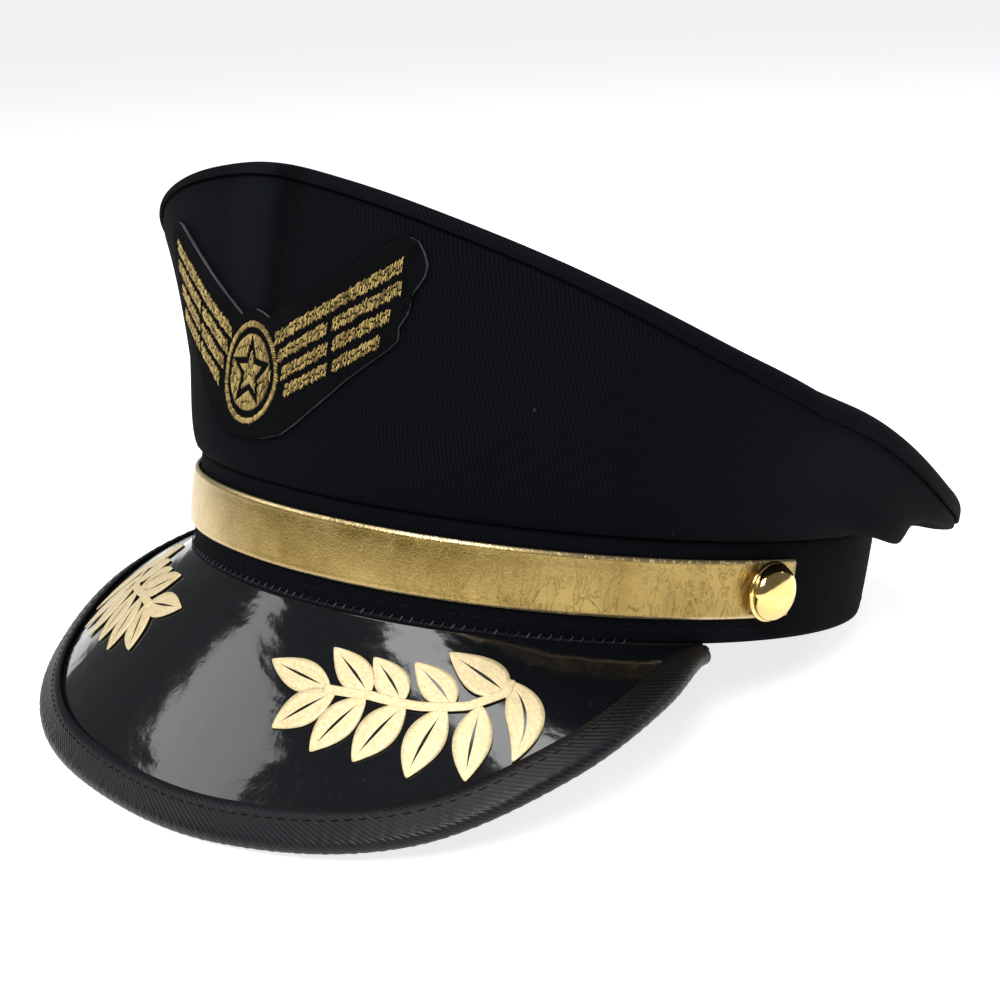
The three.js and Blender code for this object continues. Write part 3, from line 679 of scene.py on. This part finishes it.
lipWays = np.linspace(0, roll["start"], crownGrid["lipRows"], endpoint=False)
rollWays = np.linspace(roll["start"], roll["stop"], crownGrid["rollRows"], endpoint=False)
panelWays = np.linspace(roll["stop"], 0.985, crownGrid["panelRows"])
ways = np.concatenate([lipWays, rollWays, panelWays])[None, :]
topOuter = topSurface(columns, ways)
topWall = np.where(ways <= roll["start"], crown["lipWall"], crown["wall"])[..., None]
lipNormal = np.broadcast_to(ringNormal(crown, columns), topOuter.shape)
topNormal = np.where((ways <= roll["start"])[..., None], lipNormal, normalOf(topSurface, columns, ways))
topInner = topOuter - topWall * topNormal
crownPanel = makeWall("crown_panel", topOuter, topInner, twillCrown, closed=True, pole=True)
dress(crownPanel, "twill", "crown_top")
print("crown made")

# Band, with a row of stitches along its lower edge

bandGrid = {"columns": 440, "rows": 26, "swell": 0.35}
heights = np.linspace(0, band["height"], bandGrid["rows"])[None, :]
bandColumns = -180 + 360 * np.arange(bandGrid["columns"])[:, None] / bandGrid["columns"]
swell = bandGrid["swell"] * (np.sin(np.pi * heights / band["height"]) ** 0.3 - 1)
bandOuter = bandSurface(bandColumns, heights, swell)
bandInner = bandSurface(bandColumns, heights, -band["wall"] - swell)
bandCloth = makeWall("band_cloth", bandOuter, bandInner, twillBand, closed=True)
dress(bandCloth, "band_twill", "cap_band")


def strandObject(name, path, lift, halfWidth, halfHeight, material, sides=6):
    # strands: ellipses swept along each path; path and lift are grids of points and of normals
    count, steps = path.shape[:2]
    along = np.gradient(path, axis=1)
    across = unit(np.cross(along, lift))
    end = np.linspace(0, 1, steps)
    taper = (0.35 + 0.65 * np.sin(np.pi * end) ** 0.35)[None, :, None, None]
    bend = np.arange(sides) * math.tau / sides
    ring = (
        across[:, :, None] * np.cos(bend)[None, None, :, None] * np.reshape(halfWidth, (-1, 1, 1, 1))
        + lift[:, :, None] * np.sin(bend)[None, None, :, None] * np.reshape(halfHeight, (-1, 1, 1, 1))
    )
    points = path[:, :, None] + ring * taper
    n, j, k = np.meshgrid(np.arange(count), np.arange(steps - 1), np.arange(sides), indexing="ij")
    base = n * steps * sides
    k2 = (k + 1) % sides
    a = base + j * sides + k
    b = base + j * sides + k2
    c = base + (j + 1) * sides + k2
    d = base + (j + 1) * sides + k
    faces = np.stack([a, d, c, b], -1).reshape(-1, 4).tolist()
    for n0 in range(count):
        start = n0 * steps * sides
        faces.append([start + k0 for k0 in range(sides)])
        faces.append([start + (steps - 1) * sides + k0 for k0 in range(sides)][::-1])
    piece = makeObject(name, points, faces, material)
    tones = np.random.default_rng(len(name)).random(count)
    layer = piece.data.attributes.new("tone", "FLOAT", "POINT")
    layer.data.foreach_set("value", np.repeat(tones, steps * sides).astype(np.float32))
    return piece


hem = {"height": 3.5, "count": 190, "share": 0.7, "halfWidth": 0.15}
hemAt = (np.arange(hem["count"]) * 360 / hem["count"])[:, None]
hemAngles = hemAt + np.linspace(0, 360 / hem["count"] * hem["share"], 7)[None, :]
hemLift = ringNormal(band, hemAngles)
hemRise = 0.1 * np.sin(np.pi * np.linspace(0, 1, 7))[None, :] - 0.1
hemPath = bandSurface(hemAngles, hem["height"] + 0 * hemAngles, hemRise)
hemStitches = strandObject(
    "hem_stitches", hemPath, hemLift, hem["halfWidth"], hem["halfWidth"] * 0.8, blackThread,
)
dress(hemStitches, "band_twill")
print("band made")

# Strap: a rounded section swept round the front of the band

strap = {
    "foot": 6.6, "width": 15.4, "wall": 1.5, "end": 94.2, "columns": 360, "section": 36,
    "bead": 0.16, "bendRadius": 0.098,
}
strapAngles = np.linspace(-strap["end"], strap["end"], strap["columns"])[:, None]
bend = (np.arange(strap["section"]) * math.tau / strap["section"])[None, :]
acrossShare = np.sign(np.cos(bend)) * np.abs(np.cos(bend)) ** 0.45
outShare = np.sign(np.sin(bend)) * np.abs(np.sin(bend)) ** 0.6
strapBead = strap["bead"] * np.exp(-(((np.abs(acrossShare) - 0.88) / 0.06) ** 2)) * (outShare > 0)
strapDome = 0.25 * (1 - acrossShare**2) * (outShare > 0)
strapHeights = strap["foot"] + strap["width"] / 2 * (1 + acrossShare)
strapOut = gap + strap["wall"] / 2 * (1 + outShare) + strapBead + strapDome - 0.25
strapPoints = bandSurface(strapAngles, strapHeights, np.maximum(strapOut, 0.12))[:, ::-1]
columnsCount, sectionCount = strapPoints.shape[:2]
i, j = np.meshgrid(np.arange(columnsCount - 1), np.arange(sectionCount), indexing="ij")
j2 = (j + 1) % sectionCount
strapFaces = np.stack([
    i * sectionCount + j, i * sectionCount + j2, (i + 1) * sectionCount + j2, (i + 1) * sectionCount + j,
], -1).reshape(-1, 4).tolist()
lastColumn = (columnsCount - 1) * sectionCount
strapFaces.append(list(range(sectionCount))[::-1])
strapFaces.append([lastColumn + k for k in range(sectionCount)])
strapLength = np.radians(strapAngles) * strap["bendRadius"] + 0 * bend
strapUv = np.stack([strapLength, (strapHeights[:, ::-1] + 0 * strapAngles) / 1000], -1)
strapPiece = makeObject("strap_gold", strapPoints, strapFaces, strapGold, strapUv)
dress(strapPiece, "gold_leather", "chin_strap")
print("strap made")

# Buttons: a lathe profile of radius and rise, turned about the band's normal

button = {
    "at": 88.7, "height": 14.3, "segments": 64,
    "strapWall": 1.2, "strapCrown": 0.5,
    "radius": [
        0.4, 5.8, 6.3, 6.4, 7.3, 7.85, 8.0, 7.9, 7.5, 7.3, 7.45, 7.3, 6.9, 6.2, 5.1, 3.8, 2.3, 0.9, 0.15,
    ],
    "rise": [
        -0.25, -0.25, 0.0, 0.5, 0.5, 0.75, 1.15, 1.55, 1.75, 1.85, 2.2, 3.0, 3.7, 4.45, 5.05, 5.5,
        5.78, 5.88, 5.9,
    ],
}
buttonSeat = gap + button["strapWall"] + button["strapCrown"] + gap


def makeButton(side, name):
    # radius across and rise along the normal of the band, carried round in a circle
    angle = side * button["at"]
    seat = bandSurface(angle, button["height"], buttonSeat)
    out = ringNormal(band, angle)
    right = np.array([-out[1], out[0], 0])
    up = np.array([0, 0, 1.0])
    turnAt = (np.arange(button["segments"]) * math.tau / button["segments"])[:, None, None]
    radius = np.array(button["radius"])[None, :, None]
    rise = np.array(button["rise"])[None, :, None]
    points = seat + radius * (right * np.cos(turnAt) + up * np.sin(turnAt)) + out * rise
    columns, rows = points.shape[:2]
    faces = quadRows(columns, rows, True).tolist()
    faces.append([i * rows for i in range(columns)][::-1])
    faces.append([i * rows + rows - 1 for i in range(columns)])
    piece = makeObject(name, points, faces, buttonBrass)
    dress(piece, "brass", "button_left" if side > 0 else "button_right")


makeButton(1, "strap_button_left")
makeButton(-1, "strap_button_right")
print("buttons made")

# Peak and its binding tape

peakGrid = {"columns": 300, "rows": 56}
peakAngles = np.linspace(-peak["end"], peak["end"], peakGrid["columns"])[:, None]
downs = np.linspace(1, 0, peakGrid["rows"])[None, :]
peakOuter = peakSurface(peakAngles, downs)
peakInner = peakSurface(peakAngles, downs, -peak["wall"])
peakPiece = makeWall("peak_patent", peakOuter, peakInner, peakPatent)
dress(peakPiece, "patent", "peak")

tape = {"wall": 1.05, "leaf": 7.5, "leafShare": 0.6, "end": 78.5, "columns": 420, "arc": 12, "pucker": 0.1}
tapeAngles = np.linspace(-tape["end"], tape["end"], tape["columns"])


def tapeGrid(half, pucker):
    # leaf on the under face, half a circle round the edge, leaf on the upper face
    leafDown = 1 - np.minimum(tape["leaf"] / peakReach(tapeAngles), tape["leafShare"])
    rows = []
    edgeNormal = peakNormal(tapeAngles, 1 + 0 * tapeAngles)
    middle = peakSurface(tapeAngles, 1) - edgeNormal * peak["wall"] / 2
    along = unit(peakSurface(tapeAngles + 0.2, 1) - peakSurface(tapeAngles - 0.2, 1))
    outward = unit(np.cross(along, edgeNormal))
    leafPlaces = []
    for share in (1.0, 0.66, 0.33):
        down = 1 - (1 - leafDown) * share
        normal = peakNormal(tapeAngles, down)
        leafPlaces.append((peakSurface(tapeAngles, down) - normal * peak["wall"] / 2, normal))
    for place, normal in leafPlaces:
        rows.append(place - normal * half)
    for bendAt in np.linspace(-np.pi / 2, np.pi / 2, tape["arc"]):
        reach = (half + pucker)[:, None]
        rows.append(middle + reach * (outward * np.cos(bendAt) + edgeNormal * np.sin(bendAt)))
    for place, normal in leafPlaces[::-1]:
        rows.append(place + normal * half)
    return np.stack(rows, 1)


tapeInnerHalf = peak["wall"] / 2 + gap
pucker = tape["pucker"] * np.sin(tapeAngles * 7.3) * np.sin(tapeAngles * 2.9 + 1)
tapeOuter = tapeGrid(tapeInnerHalf + tape["wall"], pucker)
tapeInner = tapeGrid(tapeInnerHalf, 0 * tapeAngles)
tapePiece = makeWall("peak_tape", tapeOuter, tapeInner, twillTape)
dress(tapePiece, "tape", "peak_binding")

tapeSeam = {"count": 104, "inset": 4.6, "share": 0.7, "halfWidth": 0.2}
seamAt = np.linspace(-tape["end"] + 3, tape["end"] - 3, tapeSeam["count"] + 1)[:-1, None]
seamStep = (2 * tape["end"] - 6) / tapeSeam["count"] * tapeSeam["share"]
seamAngles = seamAt + np.linspace(0, seamStep, 6)[None, :]
seamDown = 1 - np.minimum(tapeSeam["inset"] / peakReach(seamAngles), 0.45)
seamNormal = peakNormal(seamAngles, seamDown)
seamRise = gap + tape["wall"] - 0.05 + 0.08 * np.sin(np.pi * np.linspace(0, 1, 6))
seamPath = peakSurface(seamAngles, seamDown) + seamNormal * seamRise[None, :, None]
seamPiece = strandObject(
    "tape_stitches", seamPath, seamNormal, tapeSeam["halfWidth"], tapeSeam["halfWidth"] * 0.7, blackThread,
)
dress(seamPiece, "tape")
print("peak made")

# Dark welt that closes the joint of band and peak, with small slanted stitches along it

welt = {"end": 79, "columns": 300, "drop": 0.15, "inset": 0.25, "half": 0.5, "tickEnd": 66, "ticks": 84}
weltAngles = np.linspace(-welt["end"], welt["end"], welt["columns"])[None, :]
weltLift = ringNormal(band, weltAngles)
weltPath = ringPoint(band, weltAngles, -welt["inset"]) - upward(welt["drop"] + 0 * weltAngles)
weltPiece = strandObject("joint_welt", weltPath, weltLift, welt["half"], welt["half"], blackThread, sides=8)
dress(weltPiece, "tape")
tickAt = np.linspace(-welt["tickEnd"], welt["tickEnd"], welt["ticks"])[:, None]
tickShare = np.linspace(0, 1, 6)[None, :]
tickAngles = tickAt + 0.55 * tickShare
tickLift = ringNormal(band, tickAngles)
tickOut = 0.18 + 0.35 * np.sin(np.pi * tickShare) ** 0.6
tickRise = upward(1.5 * tickShare - 0.35 + 0 * tickAngles)
tickPath = ringPoint(band, tickAngles) + tickOut[..., None] * tickLift + tickRise
tickPiece = strandObject("joint_stitches", tickPath, tickLift, 0.17, 0.13, jointThread)
dress(tickPiece, "tape")
print("joint made")

# Laurel sprays of foil, lying just over the peak

leaves = {
    "footAt": [26.5, 27.4, 31.9, 31.6, 36.3, 36.8, 42.5, 41.8, 46, 49, 49.3],
    "footDown": [0.36, 0.37, 0.37, 0.385, 0.398, 0.405, 0.425, 0.43, 0.44, 0.4, 0.32],
    "tipAt": [16.3, 21, 24.7, 27, 30.9, 32.4, 36.7, 38.8, 45, 41.1, 49.7],
    "tipDown": [0.286, 0.562, 0.18, 0.637, 0.196, 0.667, 0.2, 0.748, 0.825, 0.136, 0.813],
    "bend": [0.3, -0.3, 0.6, -0.4, 0.6, -0.4, 0.7, -0.4, -0.2, 0.9, 1.6],
    "half": [0.9, 1, 0.9, 1, 0.9, 1.05, 0.95, 1.05, 1, 1.15, 1],
}
stem = {"at": [25.6, 32, 38.5, 44.5, 48.9, 49.4], "down": [0.365, 0.372, 0.415, 0.432, 0.39, 0.31]}
spray = {
    "half": 4.6, "wall": 0.3, "lift": gap + 0.05, "stem": 1.2, "shift": 9, "nearer": 0.06,
    "long": 30, "wide": 9,
}


def foilStrip(side, at, down, halfWidth, lift):
    # strip along a curve on the peak; uv holds the share across and the angle along, 0 to pi
    shift = 0 if side > 0 else spray["shift"]
    u = np.linspace(0, 1, len(at))[:, None]
    angle = (side * np.asarray(at) + shift)[:, None]
    place = np.asarray(down)[:, None] - (0 if side > 0 else spray["nearer"])
    along = np.gradient(peakSurface(angle, place)[:, 0], axis=0)[:, None]
    normal = peakNormal(angle, place)
    across = unit(np.cross(normal, along))
    v = np.linspace(-1, 1, spray["wide"])[None, :]
    centre = peakSurface(angle, place)
    outer = centre + normal * (lift + spray["wall"]) + across * (v * halfWidth[:, None])[..., None]
    inner = centre + normal * lift + across * (v * halfWidth[:, None])[..., None]
    uv = np.stack([v + 0 * u, np.pi * u + 0 * v], -1)
    return outer, inner, uv


def makeSpray(side, name, node):
    # leaves on parabolas through foot, bent middle and tip, widest halfway, over one stem
    u = np.linspace(0, 1, spray["long"])
    parts = []
    for k in range(len(leaves["footAt"])):
        foot = np.array([leaves["footAt"][k], leaves["footDown"][k]])
        tip = np.array([leaves["tipAt"][k], leaves["tipDown"][k]])
        middle = (foot + tip) / 2 + np.array([leaves["bend"][k], 0])
        weights = np.stack([2 * (u - 0.5) * (u - 1), 4 * u * (1 - u), 2 * u * (u - 0.5)], -1)
        line = weights @ np.stack([foot, middle, tip])
        half = spray["half"] * leaves["half"][k] * (0.04 + 0.96 * np.sin(np.pi * u**0.9) ** 0.9)
        parts.append(foilStrip(side, line[:, 0], line[:, 1], half, spray["lift"]))
    t = np.linspace(0, 1, 60)
    knots = np.linspace(0, 1, len(stem["at"]))
    half = spray["stem"] + 0 * t
    at, down = np.interp(t, knots, stem["at"]), np.interp(t, knots, stem["down"])
    outer, inner, uv = foilStrip(side, at, down, half, spray["lift"] + 0.06)
    uv = np.stack([2 + 0 * uv[..., 0], uv[..., 1]], -1)
    parts.append((outer, inner, uv))
    points, faces, uvs = [], [], []
    start = 0
    for outer, inner, uv in parts:
        block = np.concatenate([outer.reshape(-1, 3), inner.reshape(-1, 3)])
        points.append(block)
        uvs.append(np.concatenate([uv.reshape(-1, 2), uv.reshape(-1, 2)]))
        for quads in wallFaces(*outer.shape[:2], False, False):
            faces += (quads + start).tolist()
        start += len(block)
    piece = makeObject(name, np.concatenate(points), faces, sprayFoil, np.concatenate(uvs))
    dress(piece, "foil", node)


makeSpray(1, "spray_foil_left", "laurel_left")
makeSpray(-1, "spray_foil_right", "laurel_right")
print("sprays made")

# Badge: a felt patch between an upper and a lower outline, with gold stitches over it

badge = {"foot": 34.3, "shift": 1.2, "tilt": 0.045, "wall": 1.0, "height": 26.1, "threadLift": 1.42}
outline = {
    "share": [0, 0.07, 0.14, 0.22, 0.5, 0.78, 0.84, 0.89, 0.93, 0.965, 1],
    "highX": [0, 3.4, 6.6, 12.5, 29.5, 47, 50.5, 53.1, 54.8, 55.5, 54.7],
    "highZ": [7.9, 7.2, 6.1, 9.3, 18.6, 27.7, 28.4, 27.5, 25.1, 22.5, 19.9],
    "lowX": [0, 7, 14.5, 18.7, 32.5, 44.9, 47.1, 47.3, 50.1, 50.7, 54.7],
    "lowZ": [-24.6, -24.2, -22.1, -19.1, -6.7, 2.4, 4.5, 7.5, 11.1, 14.9, 19.9],
}


def badgePoint(x, z, out):
    # place on the badge, shifted and tilted, laid on the front of the crown
    return frontPoint(badge["shift"] + x, badge["foot"] + z + badge["tilt"] * x, out)


def makePatch():
    # straight from the lower to the upper outline, the left half mirrored
    s = np.linspace(0, 1, 110)
    full = {}
    for key in ("highX", "highZ", "lowX", "lowZ"):
        values = np.interp(s, outline["share"], outline[key])
        sign = -1 if key.endswith("X") else 1
        full[key] = np.concatenate([sign * values[:0:-1], values])
    t = np.linspace(0, 1, 26)[None, :]
    x = full["lowX"][:, None] * (1 - t) + full["highX"][:, None] * t
    z = full["lowZ"][:, None] * (1 - t) + full["highZ"][:, None] * t
    outer = badgePoint(x, z, gap + badge["wall"] + 0 * x)
    inner = badgePoint(x, z, gap + 0 * x)
    piece = makeWall("badge_felt", outer, inner, [patchFelt, patchEdgeHighlight])
    columnsCount, rowsCount = outer.shape[:2]
    surfaces = 2 * (columnsCount - 1) * (rowsCount - 1)
    index = np.zeros(len(piece.data.polygons), dtype=np.int32)
    # the edge faces take the paler felt, a painted highlight
    index[surfaces:] = 1
    piece.data.polygons.foreach_set("material_index", index)
    dress(piece, "felt", "badge_patch")


makePatch()

stitch = {"pitch": 0.48, "half": 0.2, "rise": 0.3, "steps": 7, "slant": 0.16}
wingRows = {
    "start": [10.6, 12.1, 13.7, 15.1],
    "end": [49.3, 48.9, 45.7, 42.5],
    "slope": 0.545, "first": 29.7, "pitch": 4.9, "width": 3.3, "break": 28.5, "breakWidth": 1.7,
}


def stitchObject(name, ends, material):
    # ends holds one row for each stitch: x and z of its foot, x and z of its head
    ends = np.asarray(ends, float)
    t = np.linspace(0, 1, stitch["steps"])[None, :]
    x = ends[:, 0:1] * (1 - t) + ends[:, 2:3] * t
    z = ends[:, 1:2] * (1 - t) + ends[:, 3:4] * t
    angle, rise = frontPlace(badge["shift"] + x, badge["foot"] + z + badge["tilt"] * x)
    normal = normalOf(sideSurface, angle, rise)
    out = badge["threadLift"] + stitch["rise"] * np.sin(np.pi * t) ** 0.5 - 0.12
    path = sideSurface(angle, rise) + normal * out[..., None]
    return strandObject(name, path, normal, stitch["half"], stitch["half"] * 0.75, material)


def wingStitches(side, random):
    # two slanted stitches at each step along a row, meeting near its middle
    rows = []
    for k in range(4):
        xs = np.arange(wingRows["start"][k], wingRows["end"][k], stitch["pitch"])
        if k > 0:
            xs = xs[np.abs(xs - wingRows["break"]) > wingRows["breakWidth"] / 2]
        middle = wingRows["first"] + wingRows["slope"] * xs - k * wingRows["pitch"] - badge["foot"]
        half = wingRows["width"] / 2
        low = middle - half + random.uniform(-0.45, 0.35, len(xs))
        high = middle + half + random.uniform(-0.35, 0.45, len(xs))
        cut = middle + random.uniform(-0.9, 0.9, len(xs))
        lean = stitch["slant"]
        first = np.stack([side * (xs - lean * half), low, side * xs, cut - 0.08], -1)
        second = np.stack([side * xs, cut + 0.08, side * (xs + lean * half), high], -1)
        rows += [first, second]
    return np.concatenate(rows)


def starRadius(bendAt, radius, waist):
    # straight-sided five-pointed star: radius at an angle from its top point
    sector = math.tau / 10
    place = np.abs((bendAt + sector) % (2 * sector) - sector)
    tipX, waistX = radius, radius * waist * math.cos(sector)
    waistY = radius * waist * math.sin(sector)
    slope = waistY / (tipX - waistX)
    return slope * tipX / (np.sin(place) + slope * np.cos(place))


disc = {
    "radius": 9.9, "starIn": 6.2, "starOut": 9.7, "waist": 0.46, "squeeze": 0.92, "step": 0.1,
    "longest": 2.4, "ringNear": 11.5, "ringFar": 13.1, "ringCount": 150, "twist": 0.05,
}


def roundelStitches(random):
    # upright stitches where the disc is outside the star's dark outline, or inside the star
    rows = []
    radius, squeeze, twist = disc["radius"], disc["squeeze"], disc["twist"]
    centre = badge["height"] - badge["foot"]
    for x in np.arange(-radius, radius, stitch["pitch"]):
        zs = np.arange(-radius, radius, disc["step"])
        distance = np.hypot(x, zs)
        bendAt = np.arctan2(x, zs)
        inDisc = distance < radius
        filled = inDisc & (distance > starRadius(bendAt, disc["starOut"], disc["waist"]))
        filled |= distance < starRadius(bendAt, disc["starIn"], disc["waist"])
        edges = np.flatnonzero(np.diff(np.concatenate([[0], filled.astype(int), [0]])))
        for low, high in zip(edges[::2], edges[1::2]):
            length = (high - low) * disc["step"]
            pieces = max(1, int(round(length / disc["longest"])))
            marks = np.linspace(zs[low], zs[low] + length, pieces + 1)
            marks[1:-1] += random.uniform(-0.4, 0.4, pieces - 1)
            for foot, head in zip(marks[:-1], marks[1:]):
                if head - foot > 0.3:
                    at = x * squeeze
                    rows.append([at, centre + foot + 0.05, at, centre + head - 0.05])
    for bendAt in np.arange(0, math.tau, math.tau / disc["ringCount"]):
        near = disc["ringNear"] + random.uniform(-0.15, 0.15)
        far = disc["ringFar"] + random.uniform(-0.2, 0.15)
        rows.append([
            near * math.sin(bendAt) * squeeze, centre + near * math.cos(bendAt),
            far * math.sin(bendAt + twist) * squeeze, centre + far * math.cos(bendAt + twist),
        ])
    return rows


random = np.random.default_rng(11)
for side, word in ((1, "left"), (-1, "right")):
    wing = stitchObject(f"wing_stitches_{word}", wingStitches(side, random), goldThread)
    names = [f"wing_{word}_row_{k}" for k in (1, 2, 3, 4)]
    dress(wing, "thread", *names, *(f"{row}_outer" for row in names[1:]))
roundel = stitchObject("roundel_stitches", roundelStitches(random), goldThread)
dress(roundel, "thread", "badge_ring", "badge_disc", "badge_star")
print("badge made")

# Floor, lights and surroundings

floorData = bpy.data.meshes.new("floor")
floorData.from_pydata([(-60, -60, 0), (60, -60, 0), (60, 60, 0), (-60, 60, 0)], [], [(0, 1, 2, 3)])
floor = bpy.data.objects.new("floor", floorData)
bpy.context.scene.collection.objects.link(floor)
floorMaterial, floorShader, floorStart = newMaterial("paleFloor", {"Roughness": 0.9})
floorShader.inputs["Base Color"].default_value = (0.5, 0.5, 0.503, 1)
floorShader.inputs["Emission Color"].default_value = (1, 1, 1, 1)
floorShader.inputs["Emission Strength"].default_value = 0.8
floorData.materials.append(floorMaterial)

lamps = {
    "key": {"place": (0.75, -0.95, 1.25), "size": 0.7, "power": 30},
    "left": {"place": (-0.8, -0.9, 0.9), "size": 0.7, "power": 5},
    "back": {"place": (0.5, 1.3, 1.1), "size": 0.9, "power": 12},
    "top": {"place": (0.0, 0.1, 1.6), "size": 0.9, "power": 16},
}
for name, lamp in lamps.items():
    light = bpy.data.lights.new(name, "AREA")
    light.size = lamp["size"]
    light.energy = lamp["power"]
    holder = bpy.data.objects.new(name, light)
    bpy.context.scene.collection.objects.link(holder)
    holder.location = lamp["place"]
    aim = Vector((0, 0, 0.06)) - holder.location
    holder.rotation_euler = aim.to_track_quat("-Z", "Y").to_euler()

world = bpy.data.worlds.new("studio")
world.use_nodes = True
world.node_tree.nodes["Background"].inputs["Color"].default_value = (0.95, 0.97, 1, 1)
world.node_tree.nodes["Background"].inputs["Strength"].default_value = 0.15
bpy.context.scene.world = world
bpy.context.scene.view_settings.view_transform = "Standard"
print("studio made")
